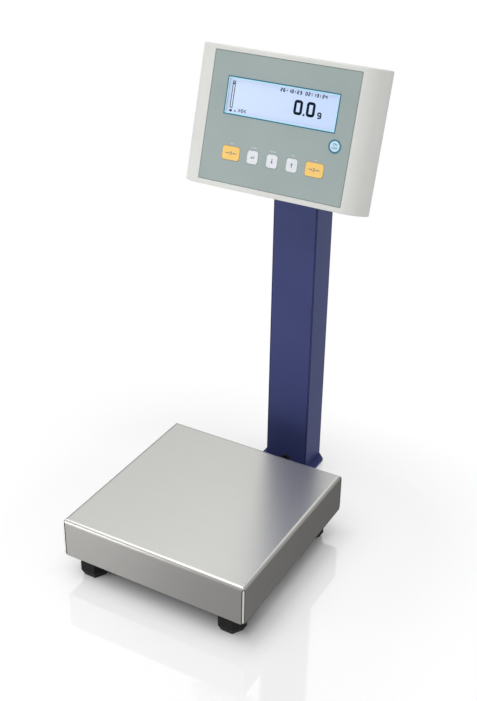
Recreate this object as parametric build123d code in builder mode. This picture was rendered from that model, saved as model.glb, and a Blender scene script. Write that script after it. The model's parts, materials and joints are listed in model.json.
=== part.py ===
from build123d import *
import os
from math import cos, radians, sin

# Laboratory balance: a weighing pan on a base, with a display head on a column behind it.
# Millimetres. X to the right, Y to the back, Z up. The floor is at Z = 0, and the origin is the
# middle of the footprint on the floor.

# Clearances that the fits below use
running_clearance = 0.06
screw_clearance = 0.05
key_clearance = 0.3
pad_clearance = 0.3
part_gap = 0.1

# Weighing pan, folded from one sheet
pan_width = 230
pan_depth = 234
pan_skirt = 48
pan_sheet = 1.5
pan_bend_radius = 4.5
pan_corner_round = 4
pan_seam_inset = 2.2
pan_seam_width = 0.6
pan_seam_depth = 0.35

# Levelling feet
foot_inset_side = 25.5
foot_inset_front = 21.9
foot_inset_rear = 27
foot_pad_radius = 9.5
foot_pad_height = 3
foot_pad_edge = 0.6
foot_rim_gap = 1
foot_knob_height = 21
foot_knob_radius = 17.9
foot_knob_edge = 1
foot_tip_radius = 13.4
foot_taper_height = 8.5
foot_stud_radius = 4
foot_stud_root = 4
foot_stud_proud = 2
foot_up_travel = 3
foot_stop_gap = 0.5

# Base casting
base_inset = 8
base_corner_radius = 16
base_plate = 4
base_wall = 4
base_wall_height = 10.5
base_boss_radius = 11
base_rib = 4
base_rib_x = 24
base_cross_rib_y = 62
base_edge = 1

# Load cell, and the stack that it carries
cell_length = 130
cell_width = 30
cell_height = 22
cell_hole_radius = 7
cell_hole_spread = 24
cell_slot = 4
cell_edge = 0.8
cell_pad_height = 3
cell_pad_length = 34
spacer_height = 4
spacer_length = 30
cell_screw_radius = 3
cell_screw_head_radius = 5
cell_screw_head = 3.6
cell_screw_grip = 12
cell_screw_pitch_x = 18
cell_screw_pitch_y = 15
cell_screw_end = 15.5
head_recess_fit = 0.3

# Spider, the cross-shaped frame that carries the pan
spider_height = 9
spider_web = 3
spider_arm_width = 22
spider_rim = 3
spider_hub_x = 25
spider_hub_y = 66
spider_hub_corner = 8
bumper_inset = 20
bumper_radius = 7
bumper_depth = 3
bumper_proud = 4.6

# Overload stops under the spider
stop_x = 58
stop_radius = 3
stop_gap = 0.5
stop_boss_radius = 6.5
stop_boss_height = 16
stop_nut_radius = 5.5
stop_nut_height = 5

# Spirit level on the base
level_inset_side = 49
level_inset_rear = 87
level_radius = 11
level_height = 9
level_vial_radius = 8.5
level_vial_height = 6

# Rear bracket, a joggled plate from under the base to the column
bracket_width = 75
bracket_plate = 4
bracket_floor_gap = 3.5
bracket_grip = 84
bracket_joggle = 26
bracket_joggle_start = 8
bracket_bend = 7
bracket_corner = 9
bracket_rib = 3
bracket_rib_end = 5
bracket_screw_x = 28
bracket_screw_front = 16
bracket_screw_rear = 62
bracket_screw_radius = 3
bracket_screw_head_radius = 5.5
bracket_screw_head = 3.3
bracket_screw_grip = 9
bracket_boss_radius = 6.5

# Column
column_gap = 82
column_width = 57
column_depth = 42
column_height = 470.5
column_sheet = 1.5
column_edge_radius = 1.2
column_seam_inset = 1.3
column_seam_width = 0.7
column_seam_depth = 0.4
cap_plate = 2
cap_plug = 5
cap_wall = 2
cap_fit = 0.2
cap_edge = 0.6

# Grommets for the lead from the load cell to the head
grommet_bore = 2.4
grommet_radius = 3.5
grommet_flange_radius = 4.8
grommet_flange = 1.2
column_grommet_low = 8
column_grommet_below_top = 46.5

# Tilt joint at the top of the column
head_lean = 16
pivot_below_top = 13
pivot_above_face_centre = 13.7
yoke_sheet = 3
yoke_reach = 28.5
yoke_height = 50
yoke_ear_radius = 14
yoke_bend = 3.5
yoke_screw_u = 19
yoke_screw_v = 16
yoke_screw_radius = 2
yoke_screw_head_radius = 3.8
yoke_screw_head = 2.2
yoke_screw_grip = 7
yoke_boss_radius = 4.5
yoke_boss_height = 5
friction_washer = 1
friction_washer_radius = 12
tilt_bolt_radius = 4
tilt_bolt_head_radius = 7.5
tilt_bolt_head = 5.3
tilt_bolt_grip = 11
bolt_washer = 1.6
bolt_washer_radius = 8
pivot_tube_radius = 7
knob_radius = 17
knob_lobes = 5
knob_flute_radius = 7
knob_flute_centre = 20
knob_height = 17
knob_neck = 5
knob_neck_radius = 9
knob_edge = 1.5
knob_insert_radius = 6
knob_insert_length = 12

# Display head: front bezel and back cover
head_half_width = 113
wing_width = 25
head_top = 76
head_bottom = -76.5
bezel_depth = 19.5
housing_wall = 2.5
housing_corner = 2
bezel_rim_round = 1.6
parting_gap = 0.5
cover_depth = 20.5
cover_taper_side = 17
cover_taper_ends = 13
cover_back_corner = 12
cover_back_round = 3
boss_root = 1.5
housing_boss_radius = 4.5
housing_boss_inset = 2
housing_boss_v = 53
housing_screw_radius = 1.5
housing_screw_head_radius = 2.9
housing_screw_head = 2
housing_screw_recess = 7
housing_screw_grip = 9
cover_rib = 1.8
cover_rib_height = 5
cover_rib_length = 112
cover_rib_u = 30

# Keypad overlay and display window
overlay_side_margin = 0.3
overlay_height = 141
overlay_corner = 1
overlay_thickness = 0.5
overlay_fit = 0.1
window_side_margin = 20.05
window_height = 41.5
window_centre_v = 24.5
window_ledge = 2
window_corner = 1

# Display unit
display_frame_side = 5.35
display_frame_height = 46
display_frame_wall = 2
display_lip = 0.6
display_opening_margin = 0.5
display_glass = 1.8
display_board_height = 48
board_thickness = 1.6
board_depth = 9.5
board_side_gap = 1.5
board_post_inset = 3
board_post_radius = 3
board_screw_radius = 1.25
board_screw_head_radius = 2.4
board_screw_head = 1.4
board_screw_grip = 4
display_post_v = 20

# Main board, in the lower half of the head
main_board_top = -1
main_board_bottom = -64
main_post_high_v = -23
main_post_low_v = -59

# Keys: their caps stand a little proud of the overlay
key_proud = 0.4
key_edge = 0.3
key_flange_margin = 0.8
key_flange = 1
key_stem_radius = 1.7
key_stem = 2
key_corner = 3
key_row_v = -37
tare_key_inset = 36.7
tare_key_width = 21.5
tare_key_height = 15
small_key_share = 0.47
small_key_width = 13.3
small_key_height = 14.5
power_key_inset = 17.9
power_key_v = -8.8
power_key_radius = 7.2
switch_size = 6
switch_height = 3.4

# Connectors on the back of the head
port_u = 52
port_v = -42
port_flange_width = 30.8
port_flange_height = 12.5
port_flange = 0.9
port_flange_corner = 1.5
port_shell_width = 16.9
port_shell_height = 8.4
port_shell_angle = 80
port_shell_wall = 0.6
port_shell_reach = 5
port_body_depth = 9
port_body_fit = 0.2
port_pin_radius = 0.5
port_pin_pitch = 2.77
port_pin_rows = 2.84
port_pin_reach = 3.5
port_nut_spread = 24.99
port_nut_radius = 2.7
port_nut_height = 3.6
port_nut_bore = 1.25
jack_flange_radius = 7
jack_flange = 2
jack_body_radius = 5.5
jack_body_length = 13
jack_bore_radius = 2.9
jack_bore_depth = 9.5
jack_pin_radius = 1.05
gland_v = -36
gland_bore = 2.4
gland_hex_radius = 8
gland_reach = 5.5
gland_thread_radius = 5
gland_thread_length = 7
gland_fit = 0.1

# Levels and places that follow from the sizes above
overall_depth = pan_depth + column_gap + column_depth
front_y = -overall_depth / 2
back_y = overall_depth / 2
pan_centre_y = front_y + pan_depth / 2
column_front_y = back_y - column_depth
column_centre_y = back_y - column_depth / 2

base_bottom_z = foot_rim_gap + foot_knob_height + foot_up_travel + foot_stop_gap
base_floor_z = base_bottom_z + base_plate
base_top_z = base_floor_z + base_wall_height
cell_pad_z = base_floor_z + cell_pad_height
cell_bottom_z = cell_pad_z + spacer_height
cell_middle_z = cell_bottom_z + cell_height / 2
cell_top_z = cell_bottom_z + cell_height
spider_bottom_z = cell_top_z + spacer_height
spider_top_z = spider_bottom_z + spider_height
pan_underside_z = spider_top_z + bumper_proud
pan_top_z = pan_underside_z + pan_sheet
pan_rim_z = pan_top_z - pan_skirt
cell_end_y = cell_length / 2 - cell_screw_end
spider_head_z = spider_bottom_z + spider_height - cell_screw_head
cell_screw_hole_radius = cell_screw_radius + screw_clearance
cell_screw_recess_radius = cell_screw_head_radius + head_recess_fit

bracket_top_z = bracket_floor_gap + bracket_plate
column_top_z = bracket_top_z + column_height
pivot_z = column_top_z - pivot_below_top
column_inner_width = column_width - 2 * column_sheet
column_inner_depth = column_depth - 2 * column_sheet

base_width = pan_width - 2 * base_inset
base_depth = pan_depth - 2 * base_inset
base_rear_y = pan_depth / 2 - base_inset
level_x = level_inset_side - pan_width / 2
level_y = pan_depth / 2 - level_inset_rear
bumper_x = pan_width / 2 - bumper_inset
bumper_y = pan_depth / 2 - bumper_inset
stop_y = stop_x * bumper_y / bumper_x
foot_x = pan_width / 2 - foot_inset_side
foot_front_y = front_y + foot_inset_front
foot_rear_y = front_y + pan_depth - foot_inset_rear
foot_places = {
    "front_left": (-foot_x, foot_front_y),
    "front_right": (foot_x, foot_front_y),
    "rear_left": (-foot_x, foot_rear_y),
    "rear_right": (foot_x, foot_rear_y),
}

# The head's own frame: u across, v up along the leaning face, depth behind the face
right = Vector(1, 0, 0)
head_normal = Vector(0, -cos(radians(head_lean)), sin(radians(head_lean)))
head_up = Vector(0, sin(radians(head_lean)), cos(radians(head_lean)))
pivot = Vector(0, column_centre_y, pivot_z)
face_half_width = head_half_width - wing_width
housing_boss_u = face_half_width - housing_boss_inset
housing_depth = bezel_depth + cover_depth
pivot_behind_face = housing_depth + yoke_sheet + yoke_reach
face_centre = pivot + head_normal * pivot_behind_face - head_up * pivot_above_face_centre
housing_height = head_top - head_bottom
housing_centre_v = (head_top + head_bottom) / 2
display_depth = housing_wall + part_gap
overlay_width = 2 * (face_half_width - overlay_side_margin)
window_width = overlay_width - 2 * window_side_margin
display_frame_width = window_width + 2 * display_frame_side
board_width = 2 * (housing_boss_u - housing_boss_radius - board_side_gap)
board_post_u = board_width / 2 - board_post_inset
tare_key_u = overlay_width / 2 - tare_key_inset
small_key_pitch = small_key_share * tare_key_u
power_key_u = overlay_width / 2 - power_key_inset
ear_inner_x = column_width / 2 + friction_washer
ear_outer_x = ear_inner_x + yoke_sheet
knob_x = ear_outer_x + bolt_washer + part_gap

small_keys = {"enter_key": -small_key_pitch, "down_key": 0, "up_key": small_key_pitch}
tare_keys = {"tare_key_left": -tare_key_u, "tare_key_right": tare_key_u}
key_centres = [(u, key_row_v) for u in (*tare_keys.values(), *small_keys.values())]
key_centres.append((power_key_u, power_key_v))


def four_places(reach_u, reach_v, middle_v=0):
    """Four places round a point on the middle line, such as the corners of a hole pattern."""
    return [(side * reach_u, middle_v + end * reach_v) for side in (-1, 1) for end in (-1, 1)]


stop_places = four_places(stop_x, stop_y)
housing_bosses = four_places(housing_boss_u, housing_boss_v)
display_posts = four_places(board_post_u, display_post_v, window_centre_v)
main_posts = four_places(
    board_post_u, (main_post_high_v - main_post_low_v) / 2, (main_post_high_v + main_post_low_v) / 2
)
board_posts = display_posts + main_posts
yoke_screws = four_places(yoke_screw_u, yoke_screw_v, pivot_above_face_centre)

upward = (Align.CENTER, Align.CENTER, Align.MIN)
downward = (Align.CENTER, Align.CENTER, Align.MAX)

os.makedirs("parts", exist_ok=True)


def level_plane(z, x=0, y=0):
    """Horizontal plane at height z, placed from the middle of the pan."""
    return Plane(Vector(x, pan_centre_y + y, z))


def face_plane(depth, u=0, v=0):
    """Plane parallel to the head's face, this far behind it, facing the user."""
    return Plane(face_centre + right * u + head_up * v - head_normal * depth, x_dir=right, z_dir=head_normal)


def back_plane(depth, u=0, v=0):
    """Plane parallel to the head's face, facing away from the user."""
    return Plane(face_centre + right * u + head_up * v - head_normal * depth, x_dir=right, z_dir=-head_normal)


def section_plane(v):
    """Plane across the head at height v: local x is u, and local y is the depth."""
    return Plane(face_centre + head_up * v, x_dir=right, z_dir=head_up)


def pivot_plane(x):
    """Plane across the tilt axis: local x points to the head's face, and the normal to the right."""
    return Plane(pivot + right * x, x_dir=head_normal, z_dir=right)


def side_plane(x, y, z):
    """Upright plane facing right: local x points to the back, and local y up."""
    return Plane((x, y, z), x_dir=(0, 1, 0), z_dir=(1, 0, 0))


def rear_plane(y, x, z):
    """Upright plane facing the back."""
    return Plane((x, y, z), x_dir=(-1, 0, 0), z_dir=(0, 1, 0))


def add_screw(place, radius, grip, head_radius, head):
    """Screw whose shank runs along the plane's normal, with the underside of its head on the plane."""
    with Locations(place):
        Cylinder(radius, grip, align=upward)
        Cylinder(head_radius, head, align=downward)


def cell_screw_places(side):
    """The four screws of one end of the load cell, measured from the middle of the pan."""
    rows = (side * cell_end_y - cell_screw_pitch_y / 2, side * cell_end_y + cell_screw_pitch_y / 2)
    return [(x, y) for x in (-cell_screw_pitch_x / 2, cell_screw_pitch_x / 2) for y in rows]


# Weighing pan: a tray turned upside down, with mitred bends along its four top edges
with BuildPart() as pan_hollow:
    with BuildSketch(level_plane(pan_rim_z)):
        Rectangle(pan_width - 2 * pan_sheet, pan_depth - 2 * pan_sheet)
    extrude(amount=pan_skirt - pan_sheet)
    fillet(pan_hollow.faces().sort_by(Axis.Z)[-1].edges(), pan_bend_radius - pan_sheet)

# The skirts' lower corners are rounded, and each front and rear corner has a welded seam
with BuildPart() as pan_corners:
    corner = Vector(pan_width / 2, front_y, pan_rim_z)
    with BuildSketch(Plane(corner, x_dir=(-1, 0, 0), z_dir=(0, 1, 0))):
        Rectangle(pan_corner_round, pan_corner_round, align=Align.MIN)
        with Locations((pan_corner_round, pan_corner_round)):
            Circle(pan_corner_round, mode=Mode.SUBTRACT)
    extrude(amount=pan_sheet)
    with BuildSketch(Plane(corner, x_dir=(0, 1, 0), z_dir=(1, 0, 0))):
        Rectangle(pan_corner_round, pan_corner_round, align=Align.MIN)
        with Locations((pan_corner_round, pan_corner_round)):
            Circle(pan_corner_round, mode=Mode.SUBTRACT)
    extrude(amount=-pan_sheet)
    with BuildSketch(Plane(corner + Vector(-pan_seam_inset, 0, 0))):
        Rectangle(pan_seam_width, 2 * pan_seam_depth)
    extrude(amount=pan_skirt - pan_bend_radius)
    mirror(about=Plane.YZ)
    mirror(about=Plane.XZ.offset(-pan_centre_y))

with BuildPart() as weighing_pan:
    with BuildSketch(level_plane(pan_rim_z)):
        Rectangle(pan_width, pan_depth)
    extrude(amount=pan_skirt)
    fillet(weighing_pan.faces().sort_by(Axis.Z)[-1].edges(), pan_bend_radius)
    add(pan_hollow.part, mode=Mode.SUBTRACT)
    add(pan_corners.part, mode=Mode.SUBTRACT)
weighing_pan.part.label = "weighing_pan"
export_step(weighing_pan.part, "parts/weighing_pan.step")


def make_foot(name, x, y):
    """Levelling foot: a rubber pad, a hexagonal knob that turns on it, and the knob's threaded stud."""
    with BuildPart() as foot_pad:
        with BuildSketch(Plane((x, y, 0))):
            Circle(foot_pad_radius)
        extrude(amount=foot_pad_height)
        chamfer(foot_pad.faces().sort_by(Axis.Z)[0].edges(), foot_pad_edge)
    foot_pad.part.label = f"foot_pad_{name}"
    export_step(foot_pad.part, f"parts/foot_pad_{name}.step")

    with BuildPart() as foot_knob:
        with BuildSketch(Plane((x, y, foot_rim_gap))):
            RegularPolygon(foot_tip_radius, 6)
        with BuildSketch(Plane((x, y, foot_rim_gap + foot_taper_height))):
            RegularPolygon(foot_knob_radius, 6)
        loft()
        with BuildSketch(Plane((x, y, foot_rim_gap + foot_taper_height))):
            RegularPolygon(foot_knob_radius, 6)
        extrude(amount=foot_knob_height - foot_taper_height)
        chamfer(foot_knob.faces().sort_by(Axis.Z)[-1].edges(), foot_knob_edge)
        with BuildSketch(Plane((x, y, foot_rim_gap))):
            Circle(foot_pad_radius + pad_clearance)
        extrude(amount=foot_pad_height - foot_rim_gap, mode=Mode.SUBTRACT)
        with BuildSketch(Plane((x, y, foot_stud_root))):
            Circle(foot_stud_radius + screw_clearance)
        extrude(amount=foot_knob_height, mode=Mode.SUBTRACT)
    foot_knob.part.label = f"foot_knob_{name}"
    export_step(foot_knob.part, f"parts/foot_knob_{name}.step")

    with BuildPart() as foot_stud:
        with BuildSketch(Plane((x, y, foot_stud_root))):
            Circle(foot_stud_radius)
        extrude(amount=base_top_z + foot_stud_proud - foot_stud_root)
        chamfer(foot_stud.faces().sort_by(Axis.Z)[-1].edges(), foot_knob_edge)
    foot_stud.part.label = f"foot_stud_{name}"
    export_step(foot_stud.part, f"parts/foot_stud_{name}.step")


for foot_name, (foot_place_x, foot_place_y) in foot_places.items():
    make_foot(foot_name, foot_place_x, foot_place_y)

# Base casting: a shallow tray with ribs and bosses, under the pan's skirts
bracket_front_y = base_rear_y - bracket_grip
bracket_screw_rows = (bracket_front_y + bracket_screw_front, bracket_front_y + bracket_screw_rear)
bracket_screw_places = [(x, y) for x in (-bracket_screw_x, bracket_screw_x) for y in bracket_screw_rows]
with BuildPart() as base_casting:
    with BuildSketch(level_plane(base_bottom_z)):
        RectangleRounded(base_width, base_depth, base_corner_radius)
    extrude(amount=base_plate + base_wall_height)
    chamfer(base_casting.faces().sort_by(Axis.Z)[0].edges(), base_edge)
    with BuildSketch(level_plane(base_floor_z)):
        RectangleRounded(base_width, base_depth, base_corner_radius)
        offset(amount=-base_wall, mode=Mode.REPLACE)
    extrude(amount=base_wall_height, mode=Mode.SUBTRACT)
    with BuildSketch(level_plane(base_floor_z)):
        with GridLocations(0, 2 * base_cross_rib_y, 1, 2):
            Rectangle(base_width - base_wall, base_rib)
        Rectangle(2 * base_rib_x, base_depth, mode=Mode.SUBTRACT)
        with GridLocations(2 * base_rib_x, 0, 2, 1):
            Rectangle(base_rib, base_depth - base_wall)
    extrude(amount=base_wall_height)
    with BuildSketch(Plane((0, 0, base_bottom_z))):
        with Locations(*foot_places.values()):
            Circle(base_boss_radius)
    extrude(amount=base_plate + base_wall_height)
    with BuildSketch(level_plane(base_floor_z)):
        with Locations((0, cell_length / 2 - cell_pad_length / 2)):
            Rectangle(cell_width, cell_pad_length)
    extrude(amount=cell_pad_height)
    with BuildSketch(level_plane(base_floor_z)):
        with Locations(*stop_places):
            Circle(stop_boss_radius)
    extrude(amount=stop_boss_height)
    with BuildSketch(level_plane(base_floor_z)):
        with Locations(*bracket_screw_places):
            Circle(bracket_boss_radius)
    extrude(amount=base_wall_height)
    with Locations(*[Plane((x, y, base_bottom_z)) for x, y in foot_places.values()]):
        Cylinder(
            foot_stud_radius + running_clearance,
            base_plate + base_wall_height,
            align=upward,
            mode=Mode.SUBTRACT,
        )
    with Locations(*[level_plane(base_floor_z + stop_boss_height, x, y) for x, y in stop_places]):
        Cylinder(stop_radius + screw_clearance, stop_boss_height, align=downward, mode=Mode.SUBTRACT)
    with Locations(*[level_plane(base_bottom_z, x, y) for x, y in bracket_screw_places]):
        Cylinder(
            bracket_screw_radius + screw_clearance,
            bracket_screw_grip + part_gap,
            align=upward,
            mode=Mode.SUBTRACT,
        )
    with Locations(*[level_plane(base_bottom_z, x, y) for x, y in cell_screw_places(1)]):
        Cylinder(
            cell_screw_hole_radius,
            base_plate + cell_pad_height,
            align=upward,
            mode=Mode.SUBTRACT,
        )
        Cylinder(
            cell_screw_recess_radius,
            cell_screw_head,
            align=upward,
            mode=Mode.SUBTRACT,
        )
    with BuildSketch(rear_plane(pan_centre_y + base_rear_y, 0, base_floor_z + base_wall_height / 2)):
        Circle(grommet_radius + part_gap)
    extrude(amount=-base_wall, mode=Mode.SUBTRACT)
base_casting.part.label = "base_casting"
export_step(base_casting.part, "parts/base_casting.step")

# Load cell: an aluminium beam, thinned by two joined holes into a parallelogram spring
with BuildPart() as load_cell:
    with BuildSketch(level_plane(cell_bottom_z)):
        Rectangle(cell_width, cell_length)
    extrude(amount=cell_height)
    chamfer(load_cell.edges().filter_by(Axis.Y), cell_edge)
    with BuildSketch(side_plane(-cell_width / 2, pan_centre_y, cell_middle_z)):
        with GridLocations(cell_hole_spread, 0, 2, 1):
            Circle(cell_hole_radius)
        Rectangle(cell_hole_spread, cell_slot)
    extrude(amount=cell_width, mode=Mode.SUBTRACT)
    with Locations(*[level_plane(cell_bottom_z, x, y) for x, y in cell_screw_places(1)]):
        Cylinder(cell_screw_hole_radius, cell_screw_grip + part_gap, align=upward, mode=Mode.SUBTRACT)
    with Locations(*[level_plane(cell_top_z, x, y) for x, y in cell_screw_places(-1)]):
        Cylinder(cell_screw_hole_radius, cell_screw_grip + part_gap, align=downward, mode=Mode.SUBTRACT)
load_cell.part.label = "load_cell"
export_step(load_cell.part, "parts/load_cell.step")

# Spacers: under the fixed rear end of the load cell, and on its live front end
with BuildPart() as load_cell_spacers:
    for side, spacer_z in ((1, cell_pad_z), (-1, cell_top_z)):
        with BuildSketch(level_plane(spacer_z)):
            with Locations((0, side * cell_end_y)):
                Rectangle(cell_width, spacer_length)
            with Locations(*cell_screw_places(side)):
                Circle(cell_screw_hole_radius, mode=Mode.SUBTRACT)
        extrude(amount=spacer_height)
load_cell_spacers.part.label = "load_cell_spacers"
export_step(load_cell_spacers.part, "parts/load_cell_spacers.step")

# Screws of the load cell: up through the base at the rear, down through the spider at the front
with BuildPart() as load_cell_screws:
    for screw_x, screw_y in cell_screw_places(1):
        add_screw(
            level_plane(base_bottom_z + cell_screw_head, screw_x, screw_y),
            cell_screw_radius,
            cell_bottom_z + cell_screw_grip - base_bottom_z - cell_screw_head,
            cell_screw_head_radius,
            cell_screw_head,
        )
    for screw_x, screw_y in cell_screw_places(-1):
        head_seat = Vector(screw_x, pan_centre_y + screw_y, spider_head_z)
        add_screw(
            Plane(head_seat, z_dir=(0, 0, -1)),
            cell_screw_radius,
            spider_head_z - cell_top_z + cell_screw_grip,
            cell_screw_head_radius,
            cell_screw_head,
        )
load_cell_screws.part.label = "load_cell_screws"
export_step(load_cell_screws.part, "parts/load_cell_screws.step")

# Overload stops: screws with lock nuts, a hair under the spider
stop_floor_z = base_floor_z + stop_boss_height
with BuildPart() as overload_stops:
    with Locations(*[level_plane(base_floor_z, x, y) for x, y in stop_places]):
        Cylinder(stop_radius, spider_bottom_z - stop_gap - base_floor_z, align=upward)
    with BuildSketch(level_plane(stop_floor_z)):
        with Locations(*stop_places):
            RegularPolygon(stop_nut_radius, 6)
    extrude(amount=stop_nut_height)
overload_stops.part.label = "overload_stops"
export_step(overload_stops.part, "parts/overload_stops.step")

# Spirit level: a ring on the base with a glass vial in it
with BuildPart() as level_ring:
    with Locations(level_plane(base_floor_z, level_x, level_y)):
        Cylinder(level_radius, level_height, align=upward)
    with Locations(level_plane(base_floor_z + level_height, level_x, level_y)):
        Cylinder(level_vial_radius + part_gap, level_vial_height, align=downward, mode=Mode.SUBTRACT)
    chamfer(level_ring.faces().sort_by(Axis.Z)[-1].edges().sort_by(SortBy.LENGTH)[-1], cell_edge)
level_ring.part.label = "level_ring"
export_step(level_ring.part, "parts/level_ring.step")

with BuildPart() as level_vial:
    with Locations(level_plane(base_floor_z + level_height, level_x, level_y)):
        Cylinder(level_vial_radius, level_vial_height, align=downward)
level_vial.part.label = "level_vial"
export_step(level_vial.part, "parts/level_vial.step")

# Spider: two crossed arms and a hub, ribbed on the underside
with BuildPart() as spider:
    with BuildSketch(level_plane(spider_bottom_z)):
        SlotCenterPoint((0, 0), (bumper_x, bumper_y), spider_arm_width)
        SlotCenterPoint((0, 0), (bumper_x, -bumper_y), spider_arm_width)
        RectangleRounded(2 * spider_hub_x, 2 * spider_hub_y, spider_hub_corner)
    extrude(amount=spider_height)
    with BuildSketch(level_plane(spider_bottom_z)):
        SlotCenterPoint((0, 0), (bumper_x, bumper_y), spider_arm_width - 2 * spider_rim)
        SlotCenterPoint((0, 0), (bumper_x, -bumper_y), spider_arm_width - 2 * spider_rim)
        with Locations((0, -cell_end_y)):
            Rectangle(2 * spider_hub_x, 2 * spider_hub_x, mode=Mode.SUBTRACT)
        with GridLocations(2 * bumper_x, 2 * bumper_y, 2, 2):
            Circle(bumper_radius + spider_rim, mode=Mode.SUBTRACT)
        with Locations(*stop_places):
            Circle(stop_boss_radius, mode=Mode.SUBTRACT)
    extrude(amount=spider_height - spider_web, mode=Mode.SUBTRACT)
    with Locations(*[level_plane(spider_top_z, x, y) for x, y in cell_screw_places(-1)]):
        Cylinder(cell_screw_hole_radius, spider_height, align=downward, mode=Mode.SUBTRACT)
        Cylinder(cell_screw_recess_radius, cell_screw_head, align=downward, mode=Mode.SUBTRACT)
    with BuildSketch(level_plane(spider_top_z)):
        with GridLocations(2 * bumper_x, 2 * bumper_y, 2, 2):
            Circle(bumper_radius + part_gap)
    extrude(amount=-bumper_depth, mode=Mode.SUBTRACT)
spider.part.label = "spider"
export_step(spider.part, "parts/spider.step")

# Rubber bumpers in the spider's corners, which the pan rests on
with BuildPart() as pan_bumpers:
    with BuildSketch(level_plane(spider_top_z - bumper_depth)):
        with GridLocations(2 * bumper_x, 2 * bumper_y, 2, 2):
            Circle(bumper_radius)
    extrude(amount=bumper_depth + bumper_proud)
pan_bumpers.part.label = "pan_bumpers"
export_step(pan_bumpers.part, "parts/pan_bumpers.step")

# Rear bracket: grips the base from below, steps down behind it and ends flush with the column
bracket_width_half = bracket_width / 2
base_plane_z = base_bottom_z - bracket_plate / 2
foot_plane_z = bracket_floor_gap + bracket_plate / 2
joggle_start_y = base_rear_y + bracket_joggle_start
joggle_end_y = joggle_start_y + bracket_joggle
bracket_rear_y = back_y - pan_centre_y
rib_end_y = column_front_y - pan_centre_y - bracket_rib_end
with BuildPart() as rear_bracket:
    with BuildSketch(side_plane(-bracket_width_half, pan_centre_y, 0)) as bracket_side:
        with BuildLine():
            FilletPolyline(
                (bracket_front_y, base_plane_z),
                (joggle_start_y, base_plane_z),
                (joggle_end_y, foot_plane_z),
                (bracket_rear_y, foot_plane_z),
                radius=bracket_bend,
            )
        trace(line_width=bracket_plate)
    extrude(amount=bracket_width)
    for rib_x in (-bracket_width_half, bracket_width_half - bracket_rib):
        with BuildSketch(side_plane(rib_x, pan_centre_y, 0)):
            with BuildLine():
                Polyline(
                    (joggle_start_y - bracket_joggle_start, base_plane_z),
                    (joggle_start_y - bracket_joggle_start + base_edge, base_bottom_z),
                    (rib_end_y - bracket_joggle, base_bottom_z),
                    (rib_end_y, foot_plane_z + bracket_plate),
                    (rib_end_y, foot_plane_z),
                    (joggle_end_y, foot_plane_z),
                    (joggle_start_y, base_plane_z),
                    close=True,
                )
            make_face()
        extrude(amount=bracket_rib)
    rear_corners = rear_bracket.edges().filter_by(Axis.Z).group_by(Axis.Y)[-1]
    chamfer(rear_corners, bracket_corner)
    with Locations(*[level_plane(base_bottom_z, x, y) for x, y in bracket_screw_places]):
        Cylinder(bracket_screw_radius + screw_clearance, bracket_plate, align=downward, mode=Mode.SUBTRACT)
rear_bracket.part.label = "rear_bracket"
export_step(rear_bracket.part, "parts/rear_bracket.step")

with BuildPart() as bracket_screws:
    for screw_x, screw_y in bracket_screw_places:
        add_screw(
            level_plane(base_bottom_z - bracket_plate, screw_x, screw_y),
            bracket_screw_radius,
            bracket_plate + bracket_screw_grip,
            bracket_screw_head_radius,
            bracket_screw_head,
        )
bracket_screws.part.label = "bracket_screws"
export_step(bracket_screws.part, "parts/bracket_screws.step")

# Column: a folded sheet tube with a seam line beside each front edge
grommet_heights = (bracket_top_z + column_grommet_low, column_top_z - column_grommet_below_top)
column_plane = Plane((0, column_centre_y, bracket_top_z))
with BuildPart() as column:
    with BuildSketch(column_plane):
        RectangleRounded(column_width, column_depth, column_edge_radius)
        Rectangle(column_inner_width, column_inner_depth, mode=Mode.SUBTRACT)
        with Locations((0, -column_depth / 2)):
            with GridLocations(column_width - 2 * column_seam_inset, 0, 2, 1):
                Rectangle(column_seam_width, 2 * column_seam_depth, mode=Mode.SUBTRACT)
    extrude(amount=column_height)
    with BuildSketch(pivot_plane(-column_width / 2)):
        Circle(tilt_bolt_radius + running_clearance)
    extrude(amount=column_width, mode=Mode.SUBTRACT)
    for grommet_z in grommet_heights:
        with BuildSketch(rear_plane(column_front_y, 0, grommet_z)):
            Circle(grommet_radius + part_gap)
        extrude(amount=column_sheet, mode=Mode.SUBTRACT)
column.part.label = "column"
export_step(column.part, "parts/column.step")

# Cap on the column, with a plug that fits inside the tube
cap_plug_width = column_inner_width - 2 * cap_fit
cap_plug_depth = column_inner_depth - 2 * cap_fit
with BuildPart() as column_cap:
    with BuildSketch(Plane((0, column_centre_y, column_top_z))):
        RectangleRounded(column_width, column_depth, column_edge_radius)
    extrude(amount=cap_plate)
    chamfer(column_cap.faces().sort_by(Axis.Z)[-1].edges(), cap_edge)
    with BuildSketch(Plane((0, column_centre_y, column_top_z))):
        Rectangle(cap_plug_width, cap_plug_depth)
        Rectangle(cap_plug_width - 2 * cap_wall, cap_plug_depth - 2 * cap_wall, mode=Mode.SUBTRACT)
    extrude(amount=-cap_plug)
column_cap.part.label = "column_cap"
export_step(column_cap.part, "parts/column_cap.step")


def add_grommet(place, wall):
    """Grommet in a wall whose outer face lies on the plane, with its normal along the hole."""
    with Locations(place):
        Cylinder(grommet_flange_radius, grommet_flange, align=downward)
        Cylinder(grommet_radius, wall, align=upward)
    with Locations(place.offset(wall)):
        Cylinder(grommet_flange_radius, grommet_flange, align=upward)
    with Locations(place.offset(-grommet_flange)):
        Cylinder(grommet_bore, wall + 2 * grommet_flange, align=upward, mode=Mode.SUBTRACT)


with BuildPart() as lead_grommets:
    add_grommet(
        rear_plane(pan_centre_y + base_rear_y - base_wall, 0, base_floor_z + base_wall_height / 2),
        base_wall,
    )
    for grommet_z in grommet_heights:
        add_grommet(rear_plane(column_front_y, 0, grommet_z), column_sheet)
lead_grommets.part.label = "lead_grommets"
export_step(lead_grommets.part, "parts/lead_grommets.step")

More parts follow.
